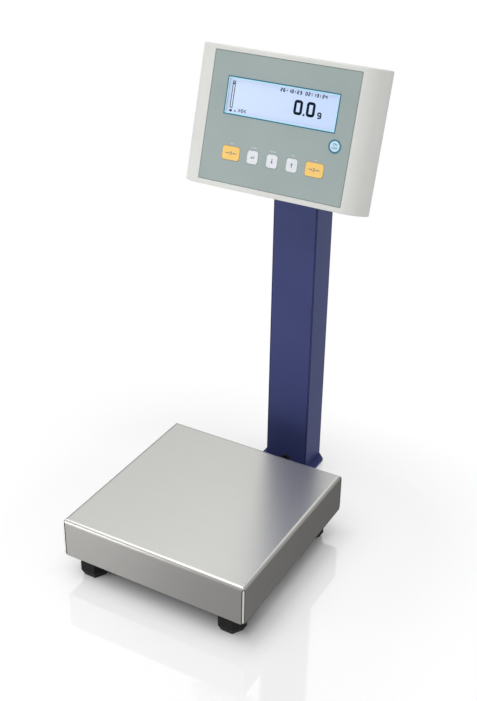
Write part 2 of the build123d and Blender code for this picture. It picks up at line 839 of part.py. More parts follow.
# Tube inside the column that takes the bolt's clamping force, and the friction washers outside it
with BuildPart() as pivot_tube:
    with BuildSketch(pivot_plane(-column_inner_width / 2)):
        Circle(pivot_tube_radius)
        Circle(tilt_bolt_radius + running_clearance, mode=Mode.SUBTRACT)
    extrude(amount=column_inner_width)
pivot_tube.part.label = "pivot_tube"
export_step(pivot_tube.part, "parts/pivot_tube.step")

with BuildPart() as friction_washers:
    for washer_x in (-ear_inner_x, column_width / 2):
        with BuildSketch(pivot_plane(washer_x)):
            Circle(friction_washer_radius)
            Circle(tilt_bolt_radius + running_clearance, mode=Mode.SUBTRACT)
        extrude(amount=friction_washer)
friction_washers.part.label = "friction_washers"
export_step(friction_washers.part, "parts/friction_washers.step")

# Tilt yoke: folded sheet, its back on the head and its ears beside the column
with BuildPart() as tilt_yoke:
    for ear_x in (-ear_outer_x, ear_inner_x):
        with BuildSketch(pivot_plane(ear_x)):
            with BuildLine():
                ear_top = (yoke_reach + yoke_sheet, -yoke_height / 2)
                ear_bottom = (yoke_reach + yoke_sheet, yoke_height / 2)
                Polyline(
                    (0, -yoke_ear_radius),
                    (yoke_ear_radius, -yoke_ear_radius),
                    (yoke_reach, -yoke_height / 2),
                    ear_top,
                    ear_bottom,
                    (yoke_reach, yoke_height / 2),
                    (yoke_ear_radius, yoke_ear_radius),
                    (0, yoke_ear_radius),
                )
                ThreePointArc((0, yoke_ear_radius), (-yoke_ear_radius, 0), (0, -yoke_ear_radius))
            make_face()
            Circle(tilt_bolt_radius + screw_clearance, mode=Mode.SUBTRACT)
        extrude(amount=yoke_sheet)
    with BuildSketch(face_plane(housing_depth + yoke_sheet, 0, pivot_above_face_centre)):
        Rectangle(2 * ear_outer_x, yoke_height)
        with GridLocations(2 * yoke_screw_u, 2 * yoke_screw_v, 2, 2):
            Circle(yoke_screw_radius + screw_clearance, mode=Mode.SUBTRACT)
    extrude(amount=yoke_sheet)
    folds = tilt_yoke.edges().filter_by(Axis(pivot, head_up)).group_by(Axis(pivot, head_normal))[-1]
    fillet(folds, yoke_bend)
tilt_yoke.part.label = "tilt_yoke"
export_step(tilt_yoke.part, "parts/tilt_yoke.step")

with BuildPart() as yoke_screw_set:
    for screw_u, screw_v in yoke_screws:
        add_screw(
            face_plane(housing_depth + yoke_sheet, screw_u, screw_v),
            yoke_screw_radius,
            yoke_sheet + yoke_screw_grip,
            yoke_screw_head_radius,
            yoke_screw_head,
        )
yoke_screw_set.part.label = "yoke_screws"
export_step(yoke_screw_set.part, "parts/yoke_screws.step")

# Tilt bolt through both ears and the column, with a washer outside each ear
bolt_left_x = -ear_outer_x - bolt_washer
bolt_right_x = ear_outer_x + bolt_washer + tilt_bolt_grip
with BuildPart() as tilt_bolt:
    with BuildSketch(pivot_plane(bolt_left_x)):
        Circle(tilt_bolt_radius)
    extrude(amount=bolt_right_x - bolt_left_x)
    with BuildSketch(pivot_plane(bolt_left_x)):
        RegularPolygon(tilt_bolt_head_radius, 6)
    extrude(amount=-tilt_bolt_head)
tilt_bolt.part.label = "tilt_bolt"
export_step(tilt_bolt.part, "parts/tilt_bolt.step")

with BuildPart() as bolt_washers:
    for washer_x in (bolt_left_x, ear_outer_x):
        with BuildSketch(pivot_plane(washer_x)):
            Circle(bolt_washer_radius)
            Circle(tilt_bolt_radius + screw_clearance, mode=Mode.SUBTRACT)
        extrude(amount=bolt_washer)
bolt_washers.part.label = "bolt_washers"
export_step(bolt_washers.part, "parts/bolt_washers.step")

# Hand knob on the bolt's end: a fluted grip on a neck, moulded round a threaded insert
with BuildPart() as tilt_knob:
    with BuildSketch(pivot_plane(knob_x + knob_neck)):
        Circle(knob_radius)
        with PolarLocations(knob_flute_centre, knob_lobes):
            Circle(knob_flute_radius, mode=Mode.SUBTRACT)
    extrude(amount=knob_height - knob_neck)
    knob_rims = tilt_knob.faces().filter_by(GeomType.PLANE).sort_by(Axis.X)
    fillet(knob_rims[0].edges() + knob_rims[-1].edges(), knob_edge)
    with BuildSketch(pivot_plane(knob_x)):
        Circle(knob_neck_radius)
    extrude(amount=knob_neck)
    with BuildSketch(pivot_plane(knob_x)):
        Circle(knob_insert_radius)
    extrude(amount=knob_insert_length, mode=Mode.SUBTRACT)
tilt_knob.part.label = "tilt_knob"
export_step(tilt_knob.part, "parts/tilt_knob.step")

with BuildPart() as knob_insert:
    with BuildSketch(pivot_plane(knob_x)):
        Circle(knob_insert_radius)
        Circle(tilt_bolt_radius + running_clearance, mode=Mode.SUBTRACT)
    extrude(amount=knob_insert_length)
knob_insert.part.label = "knob_insert"
export_step(knob_insert.part, "parts/knob_insert.step")


def wing_outline(depth):
    """Section of the head: a flat face between two convex wings, closed at this depth."""
    with BuildSketch() as outline:
        with BuildLine():
            Line((-face_half_width, 0), (face_half_width, 0))
            TangentArc((face_half_width, 0), (head_half_width, bezel_depth), tangent=(1, 0))
            Polyline(
                (head_half_width, bezel_depth),
                (head_half_width, depth),
                (-head_half_width, depth),
                (-head_half_width, bezel_depth),
            )
            TangentArc((-face_half_width, 0), (-head_half_width, bezel_depth), tangent=(-1, 0))
        make_face()
    return outline.sketch


def key_outlines(margin):
    """Outlines of all keys in the plane of the face, widened by a margin."""
    with BuildSketch() as outlines:
        with Locations(*[(u, key_row_v) for u in tare_keys.values()]):
            RectangleRounded(tare_key_width + 2 * margin, tare_key_height + 2 * margin, key_corner)
        with Locations(*[(u, key_row_v) for u in small_keys.values()]):
            RectangleRounded(small_key_width + 2 * margin, small_key_height + 2 * margin, key_corner)
        with Locations((power_key_u, power_key_v)):
            Circle(power_key_radius + margin)
    return outlines.sketch


# Front bezel: moulded shell with convex side wings, open at the back
behind_bezel = bezel_depth + housing_wall + part_gap
front_axis = Axis(face_centre, head_normal)
with BuildPart() as front_bezel:
    with BuildSketch(section_plane(head_bottom)):
        add(wing_outline(behind_bezel))
    extrude(amount=housing_height)
    top_rim = front_bezel.faces().sort_by(Axis(face_centre, head_up))[-1].edges().sort_by(front_axis)[-3:]
    bottom_rim = front_bezel.faces().sort_by(Axis(face_centre, head_up))[0].edges().sort_by(front_axis)[-3:]
    fillet(top_rim + bottom_rim, bezel_rim_round)
    with BuildSketch(face_plane(bezel_depth, 0, housing_centre_v)):
        RectangleRounded(2 * head_half_width, housing_height, housing_corner)
    extrude(amount=bezel_depth, mode=Mode.INTERSECT)
    with BuildSketch(section_plane(head_bottom + housing_wall)):
        add(wing_outline(behind_bezel))
        offset(amount=-housing_wall)
    extrude(amount=housing_height - 2 * housing_wall, mode=Mode.SUBTRACT)
    with BuildSketch(face_plane(bezel_depth)):
        with Locations(*housing_bosses):
            Circle(housing_boss_radius)
    extrude(amount=bezel_depth - boss_root)
    with BuildSketch(face_plane(board_depth)):
        with Locations(*board_posts):
            Circle(board_post_radius)
    extrude(amount=board_depth - boss_root)
    with BuildSketch(face_plane(0)):
        RectangleRounded(overlay_width + 2 * overlay_fit, overlay_height + 2 * overlay_fit, overlay_corner)
    extrude(amount=-overlay_thickness, mode=Mode.SUBTRACT)
    with BuildSketch(face_plane(0)):
        with Locations((0, window_centre_v)):
            Rectangle(window_width - 2 * window_ledge, window_height - 2 * window_ledge)
        add(key_outlines(key_clearance))
    extrude(amount=-housing_wall, mode=Mode.SUBTRACT)
    with Locations(*[face_plane(bezel_depth, u, v) for u, v in housing_bosses]):
        Cylinder(
            housing_screw_radius + screw_clearance,
            housing_screw_grip + part_gap,
            align=upward,
            mode=Mode.SUBTRACT,
        )
    with Locations(*[face_plane(board_depth, u, v) for u, v in board_posts]):
        Cylinder(
            board_screw_radius + screw_clearance,
            board_screw_grip + part_gap,
            align=upward,
            mode=Mode.SUBTRACT,
        )
front_bezel.part.label = "front_bezel"
export_step(front_bezel.part, "parts/front_bezel.step")

# Keypad overlay, flush in the bezel's recess, and the clear window in it
with BuildPart() as keypad_overlay:
    with BuildSketch(face_plane(overlay_thickness)):
        RectangleRounded(overlay_width, overlay_height, overlay_corner)
        with Locations((0, window_centre_v)):
            RectangleRounded(window_width, window_height, window_corner, mode=Mode.SUBTRACT)
        add(key_outlines(key_clearance), mode=Mode.SUBTRACT)
    extrude(amount=overlay_thickness)
keypad_overlay.part.label = "keypad_overlay"
export_step(keypad_overlay.part, "parts/keypad_overlay.step")

with BuildPart() as display_window:
    with BuildSketch(face_plane(overlay_thickness, 0, window_centre_v)):
        RectangleRounded(window_width - 2 * overlay_fit, window_height - 2 * overlay_fit, window_corner)
    extrude(amount=overlay_thickness)
display_window.part.label = "display_window"
export_step(display_window.part, "parts/display_window.step")

# Display unit: metal frame, glass panel and light box, on a board behind the window
frame_inner_width = display_frame_width - 2 * display_frame_wall
frame_inner_height = display_frame_height - 2 * display_frame_wall
opening_width = window_width - 2 * window_ledge + 2 * display_opening_margin
opening_height = window_height - 2 * window_ledge + 2 * display_opening_margin
glass_front = display_depth + display_lip
with BuildPart() as display_frame:
    with BuildSketch(face_plane(board_depth, 0, window_centre_v)):
        Rectangle(display_frame_width, display_frame_height)
    extrude(amount=board_depth - display_depth)
    with BuildSketch(face_plane(board_depth, 0, window_centre_v)):
        Rectangle(frame_inner_width, frame_inner_height)
    extrude(amount=board_depth - glass_front, mode=Mode.SUBTRACT)
    with BuildSketch(face_plane(glass_front, 0, window_centre_v)):
        Rectangle(opening_width, opening_height)
    extrude(amount=display_lip, mode=Mode.SUBTRACT)
display_frame.part.label = "display_frame"
export_step(display_frame.part, "parts/display_frame.step")

with BuildPart() as display_panel:
    with BuildSketch(face_plane(glass_front, 0, window_centre_v)):
        Rectangle(frame_inner_width - 2 * part_gap, frame_inner_height - 2 * part_gap)
    extrude(amount=-display_glass)
display_panel.part.label = "display_panel"
export_step(display_panel.part, "parts/display_panel.step")

with BuildPart() as display_light_box:
    with BuildSketch(face_plane(glass_front + display_glass, 0, window_centre_v)):
        Rectangle(frame_inner_width - 2 * part_gap, frame_inner_height - 2 * part_gap)
    extrude(amount=glass_front + display_glass - board_depth)
display_light_box.part.label = "display_light_box"
export_step(display_light_box.part, "parts/display_light_box.step")

with BuildPart() as display_board:
    with BuildSketch(face_plane(board_depth)):
        with Locations((0, window_centre_v)):
            Rectangle(board_width, display_board_height)
        with Locations(*display_posts):
            Circle(board_screw_radius + screw_clearance, mode=Mode.SUBTRACT)
    extrude(amount=-board_thickness)
display_board.part.label = "display_board"
export_step(display_board.part, "parts/display_board.step")

# Main board with a tactile switch behind each key
with BuildPart() as main_board:
    with BuildSketch(face_plane(board_depth)):
        with Locations((0, (main_board_top + main_board_bottom) / 2)):
            Rectangle(board_width, main_board_top - main_board_bottom)
        with Locations(*main_posts):
            Circle(board_screw_radius + screw_clearance, mode=Mode.SUBTRACT)
    extrude(amount=-board_thickness)
main_board.part.label = "main_board"
export_step(main_board.part, "parts/main_board.step")

with BuildPart() as key_switches:
    with BuildSketch(face_plane(board_depth)):
        with Locations(*key_centres):
            Rectangle(switch_size, switch_size)
    extrude(amount=switch_height)
key_switches.part.label = "key_switches"
export_step(key_switches.part, "parts/key_switches.step")

with BuildPart() as board_screws:
    for screw_u, screw_v in board_posts:
        add_screw(
            face_plane(board_depth + board_thickness, screw_u, screw_v),
            board_screw_radius,
            board_thickness + board_screw_grip,
            board_screw_head_radius,
            board_screw_head,
        )
board_screws.part.label = "board_screws"
export_step(board_screws.part, "parts/board_screws.step")


def make_key(name, outline, flange_outline, u, v):
    """Key: a cap through the bezel, a flange that holds it in, and a stem above its switch."""
    with BuildPart() as key:
        with BuildSketch(face_plane(-key_proud, u, v)):
            add(outline)
        extrude(amount=-key_proud - display_depth)
        fillet(key.faces().sort_by(front_axis)[-1].edges(), key_edge)
        with BuildSketch(face_plane(display_depth, u, v)):
            add(flange_outline)
        extrude(amount=-key_flange)
        with BuildSketch(face_plane(display_depth + key_flange, u, v)):
            Circle(key_stem_radius)
        extrude(amount=-key_stem)
    key.part.label = name
    export_step(key.part, f"parts/{name}.step")


def round_rectangle(width, height, corner_radius):
    with BuildSketch() as outline:
        RectangleRounded(width, height, corner_radius)
    return outline.sketch


def circle(radius):
    with BuildSketch() as outline:
        Circle(radius)
    return outline.sketch


tare_outline = round_rectangle(tare_key_width, tare_key_height, key_corner)
tare_flange = round_rectangle(
    tare_key_width + 2 * key_flange_margin, tare_key_height + 2 * key_flange_margin, key_corner
)
small_outline = round_rectangle(small_key_width, small_key_height, key_corner)
small_flange = round_rectangle(
    small_key_width + 2 * key_flange_margin, small_key_height + 2 * key_flange_margin, key_corner
)
for key_name, key_u in tare_keys.items():
    make_key(key_name, tare_outline, tare_flange, key_u, key_row_v)
for key_name, key_u in small_keys.items():
    make_key(key_name, small_outline, small_flange, key_u, key_row_v)
power_outline = circle(power_key_radius)
power_flange = circle(power_key_radius + key_flange_margin)
make_key("power_key", power_outline, power_flange, power_key_u, power_key_v)

# Back cover: drafted shell with screw bosses, ribs and openings for the connectors
cover_front = bezel_depth + parting_gap
cover_inner_back = housing_depth - housing_wall
back_width = 2 * (head_half_width - cover_taper_side)
back_height = housing_height - 2 * cover_taper_ends
port_place = (-port_u, port_v)
jack_place = (port_u, port_v)
with BuildPart() as back_cover:
    with BuildSketch(back_plane(cover_front, 0, housing_centre_v)):
        RectangleRounded(2 * head_half_width, housing_height, housing_corner)
    with BuildSketch(back_plane(housing_depth, 0, housing_centre_v)):
        RectangleRounded(back_width, back_height, cover_back_corner)
    loft()
    fillet(back_cover.faces().sort_by(front_axis)[0].edges(), cover_back_round)
    with BuildSketch(back_plane(cover_front, 0, housing_centre_v)):
        RectangleRounded(
            2 * (head_half_width - housing_wall), housing_height - 2 * housing_wall, housing_corner
        )
    with BuildSketch(back_plane(cover_inner_back, 0, housing_centre_v)):
        RectangleRounded(
            back_width - 2 * housing_wall, back_height - 2 * housing_wall, cover_back_corner - housing_wall
        )
    loft(mode=Mode.SUBTRACT)
    with BuildSketch(face_plane(cover_inner_back, 0, housing_centre_v)):
        with GridLocations(2 * cover_rib_u, 0, 2, 1):
            Rectangle(cover_rib, cover_rib_length)
    extrude(amount=cover_rib_height)
    with BuildSketch(face_plane(cover_inner_back)):
        with Locations(*yoke_screws):
            Circle(yoke_boss_radius)
    extrude(amount=yoke_boss_height)
    with BuildSketch(face_plane(cover_inner_back)):
        with Locations(*housing_bosses):
            Circle(housing_boss_radius)
    extrude(amount=cover_inner_back - bezel_depth)
    with Locations(*[face_plane(housing_depth, u, v) for u, v in housing_bosses]):
        Cylinder(housing_screw_radius + screw_clearance, cover_depth, align=upward, mode=Mode.SUBTRACT)
        Cylinder(
            housing_screw_head_radius + head_recess_fit,
            housing_screw_recess,
            align=upward,
            mode=Mode.SUBTRACT,
        )
    with Locations(*[face_plane(housing_depth, u, v) for u, v in yoke_screws]):
        Cylinder(
            yoke_screw_radius + screw_clearance,
            yoke_screw_grip + part_gap,
            align=upward,
            mode=Mode.SUBTRACT,
        )
    with BuildSketch(face_plane(housing_depth)):
        with Locations(port_place):
            Rectangle(port_shell_width + 2 * port_body_fit, port_shell_height + 2 * port_body_fit)
        with Locations(jack_place):
            Circle(jack_body_radius + part_gap)
        with Locations((0, gland_v)):
            Circle(gland_thread_radius + gland_fit)
    extrude(amount=housing_wall, mode=Mode.SUBTRACT)
back_cover.part.label = "back_cover"
export_step(back_cover.part, "parts/back_cover.step")

with BuildPart() as cover_screws:
    for screw_u, screw_v in housing_bosses:
        add_screw(
            face_plane(housing_depth - housing_screw_recess, screw_u, screw_v),
            housing_screw_radius,
            cover_depth - housing_screw_recess + housing_screw_grip,
            housing_screw_head_radius,
            housing_screw_head,
        )
cover_screws.part.label = "cover_screws"
export_step(cover_screws.part, "parts/cover_screws.step")

# Data port: a nine-pin D-shaped connector with its flange and screw posts
port_back = back_plane(housing_depth, *port_place)
with BuildPart() as data_port:
    with BuildSketch(port_back):
        RectangleRounded(port_flange_width, port_flange_height, port_flange_corner)
    extrude(amount=port_flange)
    with BuildSketch(port_back):
        Rectangle(port_shell_width, port_shell_height)
    extrude(amount=-port_body_depth)
    with BuildSketch(port_back.offset(port_flange)):
        Trapezoid(port_shell_width, port_shell_height, port_shell_angle)
        offset(amount=-port_shell_wall, mode=Mode.SUBTRACT)
    extrude(amount=port_shell_reach)
    with BuildSketch(port_back.offset(port_flange)):
        with Locations((0, port_pin_rows / 2)):
            with GridLocations(port_pin_pitch, 0, 4, 1):
                Circle(port_pin_radius)
        with Locations((0, -port_pin_rows / 2)):
            with GridLocations(port_pin_pitch, 0, 5, 1):
                Circle(port_pin_radius)
    extrude(amount=port_pin_reach)
    with BuildSketch(port_back.offset(port_flange)):
        with GridLocations(port_nut_spread, 0, 2, 1):
            RegularPolygon(port_nut_radius, 6)
            Circle(port_nut_bore, mode=Mode.SUBTRACT)
    extrude(amount=port_nut_height)
data_port.part.label = "data_port"
export_step(data_port.part, "parts/data_port.step")

# Power inlet: a round low-voltage socket with a centre pin
jack_back = back_plane(housing_depth, *jack_place)
with BuildPart() as power_inlet:
    with BuildSketch(jack_back):
        Circle(jack_flange_radius)
    extrude(amount=jack_flange)
    chamfer(power_inlet.faces().sort_by(front_axis)[0].edges(), cap_edge)
    with BuildSketch(jack_back):
        Circle(jack_body_radius)
    extrude(amount=-jack_body_length)
    with BuildSketch(jack_back.offset(jack_flange)):
        Circle(jack_bore_radius)
        Circle(jack_pin_radius, mode=Mode.SUBTRACT)
    extrude(amount=-jack_bore_depth, mode=Mode.SUBTRACT)
power_inlet.part.label = "power_inlet"
export_step(power_inlet.part, "parts/power_inlet.step")

# Gland for the load cell's lead
gland_back = back_plane(housing_depth, 0, gland_v)
with BuildPart() as lead_gland:
    with BuildSketch(gland_back):
        RegularPolygon(gland_hex_radius, 6)
    extrude(amount=gland_reach)
    chamfer(lead_gland.faces().sort_by(front_axis)[0].edges(), cap_edge)
    with BuildSketch(gland_back):
        Circle(gland_thread_radius)
    extrude(amount=-gland_thread_length)
    with BuildSketch(gland_back.offset(gland_reach)):
        Circle(gland_bore)
    extrude(amount=-gland_reach - gland_thread_length, mode=Mode.SUBTRACT)
lead_gland.part.label = "lead_gland"
export_step(lead_gland.part, "parts/lead_gland.step")
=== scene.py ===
import json
import math

import bmesh
import bpy
from mathutils import Matrix, Vector


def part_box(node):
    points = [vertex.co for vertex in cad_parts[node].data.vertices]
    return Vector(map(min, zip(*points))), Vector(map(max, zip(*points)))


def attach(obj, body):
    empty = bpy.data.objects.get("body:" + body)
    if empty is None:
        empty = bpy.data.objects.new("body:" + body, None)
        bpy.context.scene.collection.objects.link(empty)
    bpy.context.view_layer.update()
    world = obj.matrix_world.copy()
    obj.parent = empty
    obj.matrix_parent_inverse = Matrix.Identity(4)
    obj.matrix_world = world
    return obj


# A laboratory balance on a white table. Lengths are metres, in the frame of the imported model.
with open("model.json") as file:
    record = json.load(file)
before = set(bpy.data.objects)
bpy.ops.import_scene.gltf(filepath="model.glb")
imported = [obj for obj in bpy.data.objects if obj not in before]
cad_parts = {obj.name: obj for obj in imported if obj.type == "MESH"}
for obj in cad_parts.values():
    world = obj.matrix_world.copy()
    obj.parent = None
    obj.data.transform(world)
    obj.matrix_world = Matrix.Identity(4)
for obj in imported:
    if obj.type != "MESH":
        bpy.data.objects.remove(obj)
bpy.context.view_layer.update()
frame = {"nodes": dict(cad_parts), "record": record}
MM = 0.001

# The pan's box, which the welds at its corners, with their painted highlight, and the shading of the table,
# with its painted lift, are placed by
PAN_LOW, PAN_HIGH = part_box("weighing_pan")
PAN_CENTRE = [(low + high) / 2 for low, high in zip(PAN_LOW, PAN_HIGH)]
PAN_HALF = [(high - low) / 2 for low, high in zip(PAN_LOW, PAN_HIGH)]

# The head leans back, and the lean gives the directions of its face
LEAN = math.radians(16)
FACE_RIGHT = Vector((1, 0, 0))
FACE_UP = Vector((0, math.sin(LEAN), math.cos(LEAN)))
FACE_NORMAL = Vector((0, -math.cos(LEAN), math.sin(LEAN)))


def reach(node_name, direction):
    """Lowest and highest place of a CAD node along a direction, in metres."""
    places = [vertex.co.dot(direction) for vertex in frame["nodes"][node_name].data.vertices]
    return min(places), max(places)


def middle(node_name, direction):
    """Middle of a CAD node along a direction, in metres."""
    return sum(reach(node_name, direction)) / 2


# Centre of the keypad overlay's front, which the face's own millimetres u, v and level start from
FACE_CENTRE = (
    FACE_RIGHT * middle("keypad_overlay", FACE_RIGHT)
    + FACE_UP * middle("keypad_overlay", FACE_UP)
    + FACE_NORMAL * reach("keypad_overlay", FACE_NORMAL)[1]
)


def face_place(node_name):
    """Centre of a CAD node on the face, in millimetres to the right and up."""
    offsets = (middle(node_name, way) - FACE_CENTRE.dot(way) for way in (FACE_RIGHT, FACE_UP))
    return tuple(offset / MM for offset in offsets)


def face_size(node_name):
    """Width and height of a CAD node on the face, in millimetres."""
    reaches = (reach(node_name, way) for way in (FACE_RIGHT, FACE_UP))
    return [(high - low) / MM for low, high in reaches]


def face_level(node_name):
    """Level of a CAD node's front, in millimetres in front of the overlay."""
    return (reach(node_name, FACE_NORMAL)[1] - FACE_CENTRE.dot(FACE_NORMAL)) / MM


# An ink film lies this far in front of what it is printed on
INK = 0.03
FILM_LEVEL = INK
KEY_LEVEL = face_level("enter_key") + INK
PANEL_LEVEL = face_level("display_panel") + INK


def linear(colour):
    """Linear RGBA of an sRGB colour written as #RRGGBB."""
    parts = [int(colour[i : i + 2], 16) / 255 for i in (1, 3, 5)]
    return [c / 12.92 if c <= 0.04045 else ((c + 0.055) / 1.055) ** 2.4 for c in parts] + [1.0]


def per_metre(size_mm):
    """Noise scale whose spots are about this many millimetres across, in coordinates of metres."""
    return 1 / (size_mm * MM)


def new_material(name):
    """Empty node material."""
    material = bpy.data.materials.new(name)
    material.use_nodes = True
    material.node_tree.nodes.clear()
    return material, material.node_tree


def add(tree, kind, settings=None, links=None):
    """Adds a node, sets its sockets or properties, and links its inputs, by name or by number."""
    node = tree.nodes.new(kind)
    for name, value in (settings or {}).items():
        if isinstance(name, int) or name in node.inputs:
            node.inputs[name].default_value = value
        else:
            setattr(node, name, value)
    for name, source in (links or {}).items():
        tree.links.new(source, node.inputs[name])
    return node


# Sockets of a Mix node, for plain values and for colours
FIRST_VALUE = 2
SECOND_VALUE = 3
MIXED_VALUE = 0
FIRST_COLOUR = 6
SECOND_COLOUR = 7
MIXED_COLOUR = 2

# Noise stays between these values nearly everywhere, and is spread from them over what it drives
NOISE_RANGE = {"From Min": 0.3, "From Max": 0.7}


def bend_mask(tree, bend):
    """Sizes of a rounded normal's X, Y and Z, the larger of X and Y, and the share of a bend.

    A normal's largest size is 1 on a square face and about 0.7 midway over a bend.
    """
    facing = add(tree, "ShaderNodeVectorMath", {"operation": "ABSOLUTE"}, {0: bend}).outputs["Vector"]
    way = add(tree, "ShaderNodeSeparateXYZ", links={"Vector": facing}).outputs
    sideways = add(
        tree, "ShaderNodeMath", {"operation": "MAXIMUM"}, {0: way["X"], 1: way["Y"]}
    ).outputs["Value"]
    squarest = add(
        tree, "ShaderNodeMath", {"operation": "MAXIMUM"}, {0: sideways, 1: way["Z"]}
    ).outputs["Value"]
    share = add(tree, "ShaderNodeMapRange", {"From Min": 0.93, "From Max": 0.8}, {"Value": squarest})
    return way, sideways, share.outputs["Result"]


def brushed_stainless():
    """Stainless steel sheet, folded, welded at the corners and ground with a fine belt.

    The eye sees a pale satin top that blurs what it mirrors, skirts ground coarser and darkened with
    painted shade, bends that catch the lamps in a thin bright line over a colour darkened with painted
    shade, and up each corner a bright dressed weld, partly a painted highlight, beside its dark seam.
    The real grain is about 0.1 mm wide, too fine to show, so it is drawn 0.9 mm wide.
    """
    weld_width = 1.7
    weld_fade = 0.5
    seam_width = 1.0
    seam_core = seam_width / 3
    grain_width = 0.9
    grain_stretch = 0.02
    bend_radius = 1.0
    material, tree = new_material("brushed_stainless")
    place = add(tree, "ShaderNodeTexCoord").outputs["Object"]
    bend = add(tree, "ShaderNodeBevel", {"samples": 8, "Radius": bend_radius * MM}).outputs["Normal"]
    way, sideways, bend_share = bend_mask(tree, bend)
    # The grain runs along x, and along y on the two side skirts
    along_x = add(tree, "ShaderNodeMapping", {"Scale": (grain_stretch, 1, 1)}, {"Vector": place})
    along_y = add(tree, "ShaderNodeMapping", {"Scale": (1, grain_stretch, 1)}, {"Vector": place})
    grain_settings = {"Scale": per_metre(grain_width), "Detail": 3}
    grain_x = add(
        tree, "ShaderNodeTexNoise", grain_settings, {"Vector": along_x.outputs["Vector"]}
    ).outputs["Fac"]
    grain_y = add(
        tree, "ShaderNodeTexNoise", grain_settings, {"Vector": along_y.outputs["Vector"]}
    ).outputs["Fac"]
    grain = add(
        tree, "ShaderNodeMix", links={"Factor": way["X"], FIRST_VALUE: grain_x, SECOND_VALUE: grain_y}
    ).outputs[MIXED_VALUE]
    # 1 on the top and 0 on the skirts, changing over the bend between them
    top_share = add(
        tree, "ShaderNodeMapRange", {"From Min": 0.35, "From Max": 0.85}, {"Value": way["Z"]}
    ).outputs["Result"]
    # Painted shade: the skirts are coloured darker than the top, and the bends darker than the top too
    painted_shade_face_colour = add(
        tree, "ShaderNodeMix",
        {"data_type": "RGBA", FIRST_COLOUR: linear("#878684"), SECOND_COLOUR: linear("#CACAC7")},
        {"Factor": top_share},
    ).outputs[MIXED_COLOUR]
    painted_bend_shade_colour = add(
        tree, "ShaderNodeMix", {"data_type": "RGBA", SECOND_COLOUR: linear("#8F8E8A")},
        {"Factor": bend_share, FIRST_COLOUR: painted_shade_face_colour},
    ).outputs[MIXED_COLOUR]
    # Distance along the skirts from the pan's nearest upright corner
    from_centre = add(
        tree, "ShaderNodeVectorMath", {"operation": "SUBTRACT", 1: PAN_CENTRE}, {0: place}
    ).outputs["Vector"]
    folded = add(
        tree, "ShaderNodeVectorMath", {"operation": "ABSOLUTE"}, {0: from_centre}
    ).outputs["Vector"]
    short_of_half = add(
        tree, "ShaderNodeVectorMath", {"operation": "SUBTRACT", 0: PAN_HALF}, {1: folded}
    ).outputs["Vector"]
    from_corner = add(
        tree, "ShaderNodeVectorMath", {"operation": "DOT_PRODUCT", 1: (1, 1, 0)}, {0: short_of_half}
    ).outputs["Value"]
    # Dressed weld up each corner, partly a painted highlight: the skirt takes the top's pale colour there
    weld_and_highlight_share = add(
        tree, "ShaderNodeMapRange",
        {"From Min": weld_width * MM, "From Max": (weld_width - weld_fade) * MM}, {"Value": from_corner},
    ).outputs["Result"]
    seam_place = (weld_width + seam_width / 2) * MM
    from_seam = add(
        tree, "ShaderNodeMath", {"operation": "SUBTRACT", 1: seam_place}, {0: from_corner}
    ).outputs["Value"]
    off_seam = add(tree, "ShaderNodeMath", {"operation": "ABSOLUTE"}, {0: from_seam}).outputs["Value"]
    seam_share = add(
        tree, "ShaderNodeMapRange", {"From Min": seam_width * MM, "From Max": seam_core * MM},
        {"Value": off_seam},
    ).outputs["Result"]
    seamed_colour = add(
        tree, "ShaderNodeMix", {"data_type": "RGBA", SECOND_COLOUR: linear("#4B4A48")},
        {"Factor": seam_share, FIRST_COLOUR: painted_bend_shade_colour},
    ).outputs[MIXED_COLOUR]
    weld_and_highlight_colour = add(
        tree, "ShaderNodeMix", {"data_type": "RGBA", SECOND_COLOUR: linear("#CBCAC6")},
        {"Factor": weld_and_highlight_share, FIRST_COLOUR: seamed_colour},
    ).outputs[MIXED_COLOUR]
    streak = add(
        tree, "ShaderNodeMapRange",
        {**NOISE_RANGE, "To Min": 0.98, "To Max": 1.02}, {"Value": grain},
    ).outputs["Result"]
    colour = add(
        tree, "ShaderNodeVectorMath", {"operation": "SCALE"}, {0: weld_and_highlight_colour, "Scale": streak}
    ).outputs["Vector"]
    satin = add(
        tree, "ShaderNodeMapRange", {"To Min": 0.42, "To Max": 0.28}, {"Value": top_share}
    ).outputs["Result"]
    gloss = add(tree, "ShaderNodeMath", {"operation": "MULTIPLY"}, {0: satin, 1: streak}).outputs["Value"]
    relief = add(
        tree, "ShaderNodeBump", {"Distance": 0.01 * MM, "Strength": 0.12}, {"Height": grain, "Normal": bend}
    ).outputs["Normal"]
    # Grinding spreads a reflection across the grain: along y on the top and up and down the skirts
    spread = add(tree, "ShaderNodeCombineXYZ", links={"Y": way["Z"], "Z": sideways}).outputs["Vector"]
    surface = add(
        tree, "ShaderNodeBsdfPrincipled",
        {"Metallic": 1.0, "Specular Tint": (0.1, 0.1, 0.1, 1), "Anisotropic": 0.8},
        {"Base Color": colour, "Roughness": gloss, "Normal": relief, "Tangent": spread},
    ).outputs["BSDF"]
    add(tree, "ShaderNodeOutputMaterial", links={"Surface": surface})
    return material


